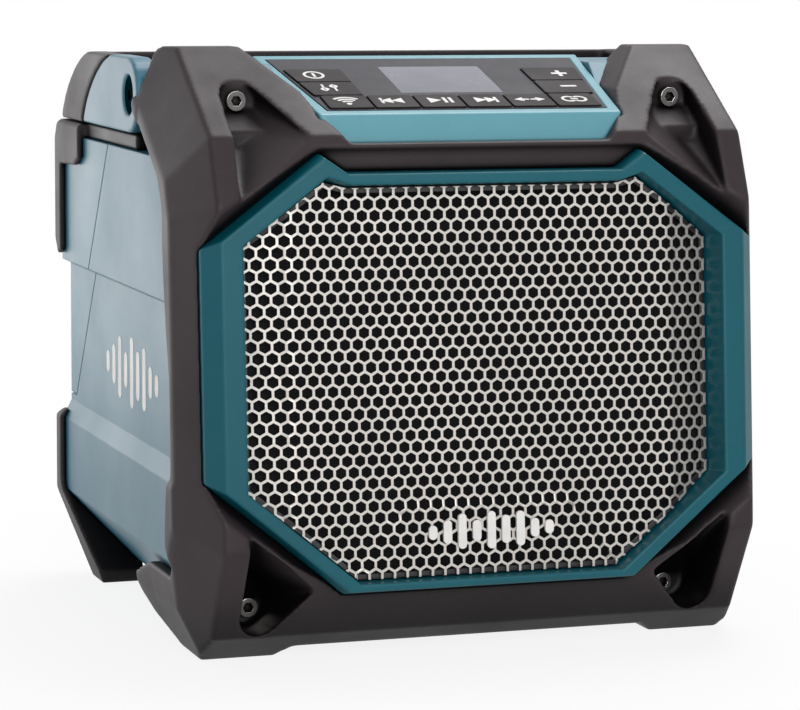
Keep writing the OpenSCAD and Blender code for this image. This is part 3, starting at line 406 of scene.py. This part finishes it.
def bevelCopy(node, look):
    bm = bmesh.new()
    bm.from_mesh(nodes[node].data)
    bmesh.ops.remove_doubles(bm, verts=bm.verts, dist=weldDistance)
    flatAngle, sharpAngle = (math.radians(bevelRules[k]) for k in ("flatAngle", "sharpAngle"))
    bmesh.ops.dissolve_limit(bm, angle_limit=flatAngle, verts=bm.verts, edges=bm.edges)
    sharp = [edge for edge in bm.edges if edge.is_manifold and edge.calc_length() > look["least"] * mm
             and edge.calc_face_angle_signed(0) > sharpAngle]
    bmesh.ops.bevel(bm, geom=sharp, offset=look["radius"] * mm, offset_type="OFFSET", affect="EDGES",
                    segments=bevelRules["segments"], profile=0.5, material=-1, clamp_overlap=False)
    piece = finishPiece(bm, "soft." + node, finishOf[node], bodyOf[node])
    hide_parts(node)


for node, look in bevelLooks.items():
    bevelCopy(node, look)
print("bevelled copies made:", len(bevelLooks))


# Rear edge of the frame's wings: slabs as an x range with a (y, z) outline, trimmed by planes, in millimetres.
# A plane is a point, an outward normal, and whether it also trims the slabs that stand proud
wingLook = {
    "proudFrom": 133.0,
    "order": Vector((1.0, 7.3, 53.9)),
    "slabs": [(121.6, 132.8, [(-37, 224), (-29.4, 226.6), (-29.4, 257.9), (-37, 257.9)]),
              (129.8, 132.8, [(-86, 185), (-74, 184), (-72.6, 191), (-69.5, 197), (-66, 203), (-57.7, 208.6),
                              (-52.6, 211.9), (-66, 211.9), (-80, 200)]),
              (127.5, 132.8, [(-96, 190), (-74, 188), (-73, 180), (-75.3, 161.5), (-79.2, 140.8),
                              (-84.4, 120.4), (-85.8, 99.4), (-86.4, 80), (-82, 76.8), (-80.2, 68.6),
                              (-78.8, 55.4), (-79, 47), (-86, 41), (-100, 41)]),
              (127.5, 133.4, [(-100, 76), (-82.6, 76), (-80.8, 68.6), (-79.4, 55.4), (-80, 48), (-86, 43),
                              (-100, 43)]),
              (127.5, 132.8, [(-60, 211.4), (-53.5, 211.4), (-47.5, 215.4), (-32, 225), (-29.6, 226.5),
                              (-29.6, 236), (-40, 236), (-50, 226)]),
              (131.85, 133.6, [(-33, 224.6), (-26.8, 228.1), (-24.4, 232.5), (-25.5, 236.5), (-33, 238)])],
    "trims": [((129, -95, 155), (0.91, -0.42, 0.03), True),
              ((122, -108, 35), (0.91, -0.37, -0.2), True),
              ((119, -101.28, 223), (32, -8.169, 12.5805), True),
              ((119, -113.74, 195), (32, -13.7025, 6.1005), True),
              ((132.8, 0, 236), (10, 0, 3), False),
              ((129.8, 0, 246), (6, 0, 3), True),
              ((126.8, 0, 252), (6, 0, 4.8), True)],
}


# Faces in a fixed order, each from a fixed corner, so that every run remeshes alike
def fixOrder(bm, order):
    bm.verts.sort(key=lambda vert: vert.co.dot(order))
    bm.faces.sort(key=lambda face: face.calc_center_median().dot(order))
    for face in bm.faces[:]:
        ring = face.verts[:]
        start = ring.index(min(ring, key=lambda vert: vert.co.dot(order)))
        bm.faces.remove(face)
        bm.faces.new(ring[start:] + ring[:start])


def addWings(bm, look):
    for x0, x1, outline in look["slabs"]:
        slab = bmesh.new()
        face = slab.faces.new([slab.verts.new((x0 * mm, y * mm, z * mm)) for y, z in outline])
        moved = bmesh.ops.extrude_face_region(slab, geom=[face], use_keep_orig=True)["geom"]
        bmesh.ops.translate(slab, verts=onlyVerts(moved), vec=((x1 - x0) * mm, 0, 0))
        proud = x1 > look["proudFrom"]
        for point, normal in [(p, n) for p, n, trimsProud in look["trims"] if trimsProud or not proud]:
            bmesh.ops.bisect_plane(slab, geom=everything(slab), plane_co=Vector(point) * mm, plane_no=normal,
                                   clear_outer=True, dist=weldDistance)
            bmesh.ops.holes_fill(slab, edges=[edge for edge in slab.edges if edge.is_boundary])
        bmesh.ops.recalc_face_normals(slab, faces=slab.faces)
        fixOrder(slab, look["order"])
        for way in (1, -1):
            mesh = bpy.data.meshes.new("wingSlab")
            half = slab.copy()
            bmesh.ops.scale(half, verts=half.verts, vec=(way, 1, 1))
            bmesh.ops.recalc_face_normals(half, faces=half.faces)
            half.to_mesh(mesh)
            half.free()
            bm.from_mesh(mesh)
            bpy.data.meshes.remove(mesh)
        slab.free()


# Soft mouldings are remeshed and relaxed, so that every edge is round
mouldLooks = {
    "front_frame": {"voxel": 1.0, "rounds": 12, "slot": "black_rubber", "extra": wingLook},
    "handle_grip": {"voxel": 1.2, "rounds": 9, "slot": "black_rubber"},
    "handle_frame": {"voxel": 1.0, "rounds": 5, "slot": "teal_trim"},
    "upper_bumper_left": {"voxel": 0.8, "rounds": 9, "slot": "black_rubber"},
    "upper_bumper_right": {"voxel": 0.8, "rounds": 9, "slot": "black_rubber"},
    "lower_bumper_left": {"voxel": 0.8, "rounds": 9, "slot": "black_rubber"},
    "lower_bumper_right": {"voxel": 0.8, "rounds": 9, "slot": "black_rubber"},
}
mouldRules = {"relaxFactor": 0.5, "planarAngle": 1.2, "mostSides": 4}


def mouldCopy(node, look):
    bm = bmesh.new()
    bm.from_mesh(nodes[node].data)
    bmesh.ops.remove_doubles(bm, verts=bm.verts, dist=weldDistance)
    if "extra" in look:
        addWings(bm, look["extra"])
    mesh = bpy.data.meshes.new("rough." + node)
    bm.to_mesh(mesh)
    bm.free()
    rough = bpy.data.objects.new("rough." + node, mesh)
    bpy.context.scene.collection.objects.link(rough)
    remesh = rough.modifiers.new("remesh", "REMESH")
    remesh.mode = "VOXEL"
    remesh.voxel_size = look["voxel"] * mm
    relax = rough.modifiers.new("relax", "SMOOTH")
    relax.factor = mouldRules["relaxFactor"]
    relax.iterations = look["rounds"]
    planar = rough.modifiers.new("planar", "DECIMATE")
    planar.decimate_type = "DISSOLVE"
    planar.angle_limit = math.radians(mouldRules["planarAngle"])
    view = bpy.context.evaluated_depsgraph_get()
    made = bpy.data.meshes.new_from_object(rough.evaluated_get(view))
    bpy.data.objects.remove(rough)
    bpy.data.meshes.remove(mesh)
    bm = bmesh.new()
    bm.from_mesh(made)
    bpy.data.meshes.remove(made)
    wide = [face for face in bm.faces if len(face.verts) > mouldRules["mostSides"]]
    bmesh.ops.triangulate(bm, faces=wide)
    piece = finishPiece(bm, "moulded." + node, finishOf[node], bodyOf[node])
    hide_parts(node)
    print("moulded", node, len(piece.data.polygons), "faces")


for node, look in mouldLooks.items():
    mouldCopy(node, look)


# The two sloped planes of the front, as transforms from (x, along, outward)
faceFrame = {"lean": 4.5, "y": -129.09, "z": 0.0}
panelFrame = {"lean": 90 - 16.4, "y": -85.78, "z": 232.4}


def slopedPlane(look):
    lean = math.radians(look["lean"])
    along = Vector((0, math.sin(lean), math.cos(lean)))
    outward = Vector((0, -math.cos(lean), math.sin(lean)))
    turn = Matrix((Vector((1, 0, 0)), along, outward)).transposed().to_4x4()
    return Matrix.Translation((0, look["y"] * mm, look["z"] * mm)) @ turn


# The flat side of the housing, as a transform from (towards the rear or front, up, outward)
def sidePlane(way, depth):
    turn = Matrix((Vector((0, way, 0)), Vector((0, 0, 1)), Vector((way, 0, 0)))).transposed().to_4x4()
    return Matrix.Translation((way * depth * mm, 0, 0)) @ turn


# Outline of the opening in the bezel, right half, in face millimetres, and the square that is cut to it
openingHalf = [(58.63, 37.2), (105.5, 75.93), (105.5, 179.03), (70.54, 205.25), (60.25, 202.66)]
openingSquare = {"half": 110.0, "middle": 122.0}


def cutToOpening(bm, inset):
    low, sideLow, sideHigh, ear, top = (Vector((x * mm, v * mm, 0)) for x, v in openingHalf)

    def cut(first, second, clear):
        across = (second - first).normalized()
        normal = Vector((across.y, -across.x, 0))
        bmesh.ops.bisect_plane(bm, geom=everything(bm), plane_co=first - normal * inset, plane_no=normal,
                               clear_outer=clear, dist=weldDistance)
    mirrored = [Vector((-p.x, p.y, 0)) for p in (low, sideLow, sideHigh, ear, top)]
    lowLeft, sideLowLeft, sideHighLeft, earLeft, topLeft = mirrored
    for first, second in ((lowLeft, low), (low, sideLow), (sideLow, sideHigh), (sideHigh, ear),
                          (sideHighLeft, sideLowLeft), (sideLowLeft, lowLeft), (earLeft, sideHighLeft),
                          (ear, earLeft)):
        cut(first, second, True)
    # the notch between the two ears
    for first, second in ((ear, top), (top, topLeft), (topLeft, earLeft)):
        cut(first, second, False)

    def inNotch(point):
        slope = (ear.y - top.y) / (ear.x - top.x)
        limit = top.y + max(0.0, abs(point.x) - top.x) * slope
        return point.y > limit - inset and abs(point.x) < ear.x
    gone = [face for face in bm.faces if inNotch(face.calc_center_median())]
    bmesh.ops.delete(bm, geom=gone, context="FACES")


def openingSheet(cells, depth, gap):
    bm = bmesh.new()
    half, middle = openingSquare["half"] * mm, openingSquare["middle"] * mm
    bmesh.ops.create_grid(bm, x_segments=cells, y_segments=cells, size=half)
    bmesh.ops.translate(bm, verts=bm.verts, vec=(0, middle, -depth * mm))
    cutToOpening(bm, gap * mm)
    return bm


# Fine pressed mesh: hexagonal holes in staggered rows, side flanges bent back, one raised trapezoid
meshLook = {"pitch": 5.65, "web": 1.1, "thick": 0.7, "depth": 11.0, "gap": 0.35, "columns": 40, "rows": 38,
            "weldShare": 0.02, "flangeFrom": 84.0, "flangeDrop": 6.5, "bend": 5.0, "padLift": 1.3,
            "padTop": 67.5, "padHalf": 38.5, "padFlare": 0.72, "padStep": 1.6}


def padShape(x, v, look):
    below = look["padTop"] - v
    inside = look["padHalf"] + look["padFlare"] * below - abs(x)
    return max(0.0, min(1.0, below / look["padStep"], inside / look["padStep"]))


def meshDrop(x, look):
    out = max(0.0, abs(x) - look["flangeFrom"])
    sideLow = openingHalf[1]
    return look["flangeDrop"] * out / (sideLow[0] - look["flangeFrom"]) * min(1.0, out / look["bend"])


def repeatAt(bm, geom, vec):
    copied = bmesh.ops.duplicate(bm, geom=geom)["geom"]
    bmesh.ops.translate(bm, verts=onlyVerts(copied), vec=vec)


def makeGrille(look):
    pitch, web = look["pitch"] * mm, look["web"] * mm
    rowStep = pitch * math.sqrt(3) / 2
    bm = bmesh.new()
    bmesh.ops.create_circle(bm, cap_ends=True, segments=6, radius=pitch / math.sqrt(3))
    hole = bm.faces[:]
    bmesh.ops.inset_individual(bm, faces=hole, thickness=web / 2, use_even_offset=True)
    bmesh.ops.delete(bm, geom=hole, context="FACES")
    middle = openingSquare["middle"] * mm
    start = Vector((-look["columns"] / 2 * pitch, middle - look["rows"] / 2 * rowStep, 0))
    bmesh.ops.translate(bm, verts=bm.verts, vec=start)
    cell = everything(bm)
    for column in range(1, look["columns"] + 1):
        repeatAt(bm, cell, (column * pitch, 0, 0))
    row = everything(bm)
    for step in range(1, look["rows"] + 1):
        shift = pitch / 2 if step % 2 else 0.0
        repeatAt(bm, row, (shift, step * rowStep, 0))
    bmesh.ops.remove_doubles(bm, verts=bm.verts, dist=pitch * look["weldShare"])
    cutToOpening(bm, look["gap"] * mm)
    for vert in bm.verts:
        drop = meshDrop(vert.co.x / mm, look)
        lift = look["padLift"] * padShape(vert.co.x / mm, vert.co.y / mm, look)
        vert.co.z = (lift - drop - look["depth"]) * mm
    bmesh.ops.recalc_face_normals(bm, faces=bm.faces)
    if sum(face.normal.z for face in bm.faces) < 0:
        bmesh.ops.reverse_faces(bm, faces=bm.faces)
    bmesh.ops.solidify(bm, geom=bm.faces[:], thickness=look["thick"] * mm)
    bmesh.ops.transform(bm, matrix=slopedPlane(faceFrame), verts=bm.verts)
    piece = finishPiece(bm, "fineGrille", "meshSteel", "housing")
    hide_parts("grille")


makeGrille(meshLook)
print("fine grille made")


# Dark gasket between the back of the mesh and the bezel, along the whole opening
gasketLook = {"wide": 2.2, "cells": 44, "gap": 0.3, "behind": 0.2, "back": 19.2}


def makeGasket(look):
    bm = openingSheet(look["cells"], 0.0, look["gap"])
    bmesh.ops.recalc_face_normals(bm, faces=bm.faces)
    inside = bm.faces[:]
    bmesh.ops.inset_region(bm, faces=inside, thickness=look["wide"] * mm, use_boundary=True,
                           use_even_offset=True)
    bmesh.ops.delete(bm, geom=inside, context="FACES")
    back = bmesh.ops.extrude_face_region(bm, geom=bm.faces[:], use_keep_orig=True)["geom"]
    meshBack = meshLook["depth"] + meshLook["thick"] + look["behind"]
    for vert in bm.verts:
        vert.co.z = -(meshBack + meshDrop(vert.co.x / mm, meshLook)) * mm
    for vert in onlyVerts(back):
        vert.co.z = -look["back"] * mm
    bmesh.ops.recalc_face_normals(bm, faces=bm.faces)
    bmesh.ops.transform(bm, matrix=slopedPlane(faceFrame), verts=bm.verts)
    finishPiece(bm, "meshGasket", "blackPlastic", "housing")


makeGasket(gasketLook)
print("gasket made")


# Black cloth stretched behind the mesh
clothLook = {"depth": 19.7, "thick": 0.4, "cells": 60, "gap": 0.4, "threadScale": 260.0, "waver": 0.6,
             "between": (10, 10, 11), "thread": (26, 26, 28), "rough": 0.9, "specular": 0.15,
             "bump": 0.5, "weaveDepth": 0.0003}


def makeClothFinish(look):
    material, tree, link, shader = newMaterial("wovenCloth")
    shader.inputs["Roughness"].default_value = look["rough"]
    shader.inputs["Specular IOR Level"].default_value = look["specular"]
    place = addNode(tree, "ShaderNodeTexCoord")
    weave = addNode(tree, "ShaderNodeMath", operation="MAXIMUM")
    colour = addMix(tree, look["between"], look["thread"])
    bump = addNode(tree, "ShaderNodeBump", {"Strength": look["bump"], "Distance": look["weaveDepth"]})
    for way, socket in (("X", 0), ("Z", 1)):
        thread = addNode(tree, "ShaderNodeTexWave", {"Scale": look["threadScale"], "Distortion": look["waver"]},
                         bands_direction=way)
        link(place.outputs["Object"], thread.inputs["Vector"])
        link(thread.outputs["Fac"], weave.inputs[socket])
    link(weave.outputs[0], colour.inputs[mixFactor])
    link(colour.outputs[mixResult], shader.inputs["Base Color"])
    link(weave.outputs[0], bump.inputs["Height"])
    link(bump.outputs["Normal"], shader.inputs["Normal"])
    return material


finishes["wovenCloth"] = makeClothFinish(clothLook)


def makeCloth(look):
    bm = openingSheet(look["cells"], look["depth"], look["gap"])
    area = sum(face.calc_area() for face in bm.faces)
    bmesh.ops.solidify(bm, geom=bm.faces[:], thickness=look["thick"] * mm)
    bmesh.ops.transform(bm, matrix=slopedPlane(faceFrame), verts=bm.verts)
    piece = finishPiece(bm, "grilleCloth", "wovenCloth", "housing")
    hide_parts("grille_cloth")


makeCloth(clothLook)
print("cloth made")


# Flat shapes for printed signs, drawn in millimetres on the plane z = 0
drawRules = {"sides": 20, "arcStep": 12.0, "fullTurn": 359.0, "weld": 1e-4}


def turnedBy(angle):
    return Matrix.Rotation(math.radians(angle), 3, "Z")


def drawBar(bm, x, y, wide, tall, turn=0.0):
    made = bmesh.ops.create_grid(bm, x_segments=1, y_segments=1, size=0.5)["verts"]
    bmesh.ops.scale(bm, verts=made, vec=(wide, tall, 1))
    bmesh.ops.rotate(bm, verts=made, cent=(0, 0, 0), matrix=turnedBy(turn))
    bmesh.ops.translate(bm, verts=made, vec=(x, y, 0))


def drawDisc(bm, x, y, radius, sides=drawRules["sides"], turn=0.0):
    made = bmesh.ops.create_circle(bm, cap_ends=True, segments=sides, radius=radius)["verts"]
    bmesh.ops.rotate(bm, verts=made, cent=(0, 0, 0), matrix=turnedBy(turn))
    bmesh.ops.translate(bm, verts=made, vec=(x, y, 0))


def drawPill(bm, x, y, wide, tall):
    made = bmesh.ops.create_circle(bm, cap_ends=True, segments=drawRules["sides"], radius=wide / 2)["verts"]
    for vert in made:
        vert.co.y += (tall - wide) / 2 * (1 if vert.co.y > 0 else -1)
    bmesh.ops.translate(bm, verts=made, vec=(x, y, 0))


def drawArc(bm, x, y, radius, wide, start, sweep):
    ends = [bm.verts.new((radius + side * wide / 2, 0, 0)) for side in (-1, 1)]
    edge = bm.edges.new(ends)
    bmesh.ops.rotate(bm, verts=ends, cent=(0, 0, 0), matrix=turnedBy(start))
    bmesh.ops.translate(bm, verts=ends, vec=(x, y, 0))
    bmesh.ops.spin(bm, geom=ends + [edge], cent=(x, y, 0), axis=(0, 0, 1), angle=math.radians(sweep),
                   steps=int(sweep / drawRules["arcStep"]), use_merge=sweep > drawRules["fullTurn"])


# Signs on the ten keys, as generic marks
signLook = {"stroke": 1.25, "thick": 0.12, "proud": 0.7}


def drawPower(bm, s):
    drawArc(bm, 0, 0, 4.2, s, 0, 360)
    drawBar(bm, 0, 0, s, 4.8)


def drawSound(bm, s):
    for x, knob in ((-2.4, -1.8), (2.4, 1.8)):
        drawBar(bm, x, 0, s * 0.8, 8.4)
        drawDisc(bm, x, knob, 1.9)


def drawWireless(bm, s):
    drawDisc(bm, 0, -3.2, 1.2)
    for radius in (3.2, 5.6, 8.0):
        drawArc(bm, 0, -3.2, radius, s, 48, 84)


def drawPrevious(bm, s):
    drawBar(bm, -5.2, 0, s, 6.4)
    for x in (-2.3, 2.6):
        drawDisc(bm, x, 0, 3.6, 3, 90)


def drawNext(bm, s):
    drawBar(bm, 5.2, 0, s, 6.4)
    for x in (-2.6, 2.3):
        drawDisc(bm, x, 0, 3.6, 3, -90)


def drawPlay(bm, s):
    drawDisc(bm, -2.9, 0, 3.8, 3, -90)
    for x in (2.6, 5.3):
        drawBar(bm, x, 0, s * 1.15, 6.4)


def drawChannel(bm, s):
    for x, turn in ((-4.4, 90), (4.4, -90)):
        drawDisc(bm, x, 0, 2.7, 3, turn)
        drawBar(bm, x * 0.42, 0, 3.0, s)


def drawLink(bm, s):
    for x in (-2.4, 2.4):
        drawArc(bm, x, 0, 2.9, s, 45 if x < 0 else 225, 270)
    drawBar(bm, 0, 0, 3.4, s)


def drawMinus(bm, s):
    drawBar(bm, 0, 0, 7.4, s * 1.4)


def drawPlus(bm, s):
    drawBar(bm, 0, 0, 7.4, s * 1.4)
    for y in (-2.3, 2.3):
        drawBar(bm, 0, y, s * 1.4, 7.4 / 2 - s * 0.7)


keySigns = [("key_wireless", drawWireless, -51.9, 9.2), ("key_previous", drawPrevious, -31.2, 9.6),
            ("key_play", drawPlay, -10.4, 9.6), ("key_next", drawNext, 10.4, 9.6),
            ("key_channel", drawChannel, 31.2, 9.6), ("key_link", drawLink, 51.9, 9.6),
            ("key_sound", drawSound, -54.6, 27.0), ("key_power", drawPower, -56.6, 43.8),
            ("key_minus", drawMinus, 55.6, 26.6), ("key_plus", drawPlus, 57.6, 43.8)]


# Flat faces become a thin printed layer on the given plane
def printedPiece(bm, name, plane, thick, body):
    bmesh.ops.remove_doubles(bm, verts=bm.verts, dist=drawRules["weld"])
    bmesh.ops.recalc_face_normals(bm, faces=bm.faces)
    for face in bm.faces:
        face.normal_update()
        if face.normal.z < 0:
            face.normal_flip()
    raised = bmesh.ops.extrude_face_region(bm, geom=bm.faces[:], use_keep_orig=True)["geom"]
    bmesh.ops.translate(bm, verts=onlyVerts(raised), vec=(0, 0, thick))
    bmesh.ops.recalc_face_normals(bm, faces=bm.faces)
    bmesh.ops.scale(bm, verts=bm.verts, vec=(mm, mm, mm))
    bmesh.ops.transform(bm, matrix=plane, verts=bm.verts)
    finishPiece(bm, name, "printWhite", body)


def makeSigns(look):
    for key, draw, x, along in keySigns:
        bm = bmesh.new()
        draw(bm, look["stroke"])
        bmesh.ops.translate(bm, verts=bm.verts, vec=(x, along, look["proud"]))
        printedPiece(bm, "sign." + key, slopedPlane(panelFrame), look["thick"], key)


makeSigns(signLook)
print("key signs made:", len(keySigns))


# Plain level bars: a raised badge on the grille and a flat print on each side
badgeLook = {"x": 1.0, "v": 56.0, "pitch": 6.6, "wide": 3.8, "thick": 1.4, "lift": -9.75,
             "tall": [6, 10, 15, 9, 16, 12, 15, 8, 6]}
sideLook = {"depth": 127.0, "y": 0.0, "z": 112.0, "pitch": 11.0, "wide": 6.0, "thick": 0.12,
            "tall": [10, 18, 28, 16, 32, 22, 28, 14, 10]}


def drawLevels(bm, look, x, y):
    middle = (len(look["tall"]) - 1) / 2
    for i, tall in enumerate(look["tall"]):
        drawPill(bm, x + (i - middle) * look["pitch"], y, look["wide"], tall)


def makeLevels():
    bm = bmesh.new()
    drawLevels(bm, badgeLook, badgeLook["x"], badgeLook["v"])
    bmesh.ops.translate(bm, verts=bm.verts, vec=(0, 0, badgeLook["lift"]))
    printedPiece(bm, "levelBadge", slopedPlane(faceFrame), badgeLook["thick"], "housing")
    for name, way in (("sidePrint.left", -1), ("sidePrint.right", 1)):
        bm = bmesh.new()
        drawLevels(bm, sideLook, sideLook["y"], sideLook["z"])
        printedPiece(bm, name, sidePlane(way, sideLook["depth"]), sideLook["thick"], "housing")


makeLevels()
print("level bars made")


# Floor, soft light and a white surround
stageLook = {"floorSize": 8.0, "floorColour": (0.86, 0.85, 0.84, 1), "floorRough": 0.7,
             "nearWhite": 0.16, "farWhite": 0.42, "leastWhite": 0.86, "worldLight": 0.32,
             "aim": (0, 0, 0.12),
             "lamps": [("rearLeftSoftbox", (-0.46, 0.54, 0.1), 0.64, 2.1),
                       ("topSoftbox", (0.48, 0.4, 1.5), 0.9, 17.0),
                       ("frontFill", (-0.2, -1.7, 0.7), 0.9, 17.0)]}


# The floor is pale to light, and nearly white to the camera and to reflections
def makeFloor(look):
    bm = bmesh.new()
    bmesh.ops.create_grid(bm, x_segments=1, y_segments=1, size=look["floorSize"])
    mesh = bpy.data.meshes.new("paleFloor")
    bm.to_mesh(mesh)
    bm.free()
    floor = bpy.data.objects.new("paleFloor", mesh)
    bpy.context.scene.collection.objects.link(floor)
    material, tree, link, shader = newMaterial("paleFloor")
    shader.inputs["Base Color"].default_value = look["floorColour"]
    shader.inputs["Roughness"].default_value = look["floorRough"]
    white = addNode(tree, "ShaderNodeEmission", {"Strength": 1.0})
    mixed = addNode(tree, "ShaderNodeMixShader")
    rays = addNode(tree, "ShaderNodeLightPath")
    seen = addNode(tree, "ShaderNodeMath", operation="MAXIMUM")
    place = addNode(tree, "ShaderNodeTexCoord")
    length = addNode(tree, "ShaderNodeVectorMath", operation="LENGTH")
    fade = addNode(tree, "ShaderNodeMapRange",
                   {"From Min": look["nearWhite"], "From Max": look["farWhite"],
                    "To Min": look["leastWhite"], "To Max": 1.0}, interpolation_type="SMOOTHSTEP")
    both = addNode(tree, "ShaderNodeMath", operation="MULTIPLY")
    link(place.outputs["Object"], length.inputs[0])
    link(length.outputs["Value"], fade.inputs["Value"])
    link(rays.outputs["Is Camera Ray"], seen.inputs[0])
    link(rays.outputs["Is Glossy Ray"], seen.inputs[1])
    link(seen.outputs[0], both.inputs[0])
    link(fade.outputs["Result"], both.inputs[1])
    link(both.outputs[0], mixed.inputs[0])
    link(shader.outputs[0], mixed.inputs[1])
    link(white.outputs[0], mixed.inputs[2])
    link(mixed.outputs[0], tree.nodes["Material Output"].inputs["Surface"])
    mesh.materials.append(material)


# The world lights softly, and is white to the camera, to reflections and through clear parts
def makeSurround(look):
    world = bpy.data.worlds.new("whiteSurround")
    bpy.context.scene.world = world
    world.use_nodes = True
    sky = world.node_tree
    link = sky.links.new
    light = sky.nodes["Background"]
    light.inputs["Color"].default_value = (1, 1, 1, 1)
    light.inputs["Strength"].default_value = look["worldLight"]
    shown = addNode(sky, "ShaderNodeBackground", {"Color": (1, 1, 1, 1), "Strength": 1.0})
    either = addNode(sky, "ShaderNodeMixShader")
    path = addNode(sky, "ShaderNodeLightPath")
    direct = addNode(sky, "ShaderNodeMath", operation="MAXIMUM")
    through = addNode(sky, "ShaderNodeMath", operation="MAXIMUM")
    link(path.outputs["Is Camera Ray"], direct.inputs[0])
    link(path.outputs["Is Glossy Ray"], direct.inputs[1])
    link(direct.outputs[0], through.inputs[0])
    link(path.outputs["Is Transmission Ray"], through.inputs[1])
    link(through.outputs[0], either.inputs[0])
    link(light.outputs[0], either.inputs[1])
    link(shown.outputs[0], either.inputs[2])
    link(either.outputs[0], sky.nodes["World Output"].inputs["Surface"])


def makeLamps(look):
    for name, spot, size, power in look["lamps"]:
        lamp = bpy.data.lights.new(name, "AREA")
        lamp.shape = "SQUARE"
        lamp.size = size
        lamp.energy = power
        lampObject = bpy.data.objects.new(name, lamp)
        lampObject.location = spot
        lampObject.rotation_mode = "QUATERNION"
        lampObject.rotation_quaternion = (Vector(look["aim"]) - Vector(spot)).to_track_quat("-Z", "Y")
        bpy.context.scene.collection.objects.link(lampObject)


makeFloor(stageLook)
makeSurround(stageLook)
makeLamps(stageLook)
bpy.context.scene.view_settings.view_transform = "Standard"
print("stage lit")
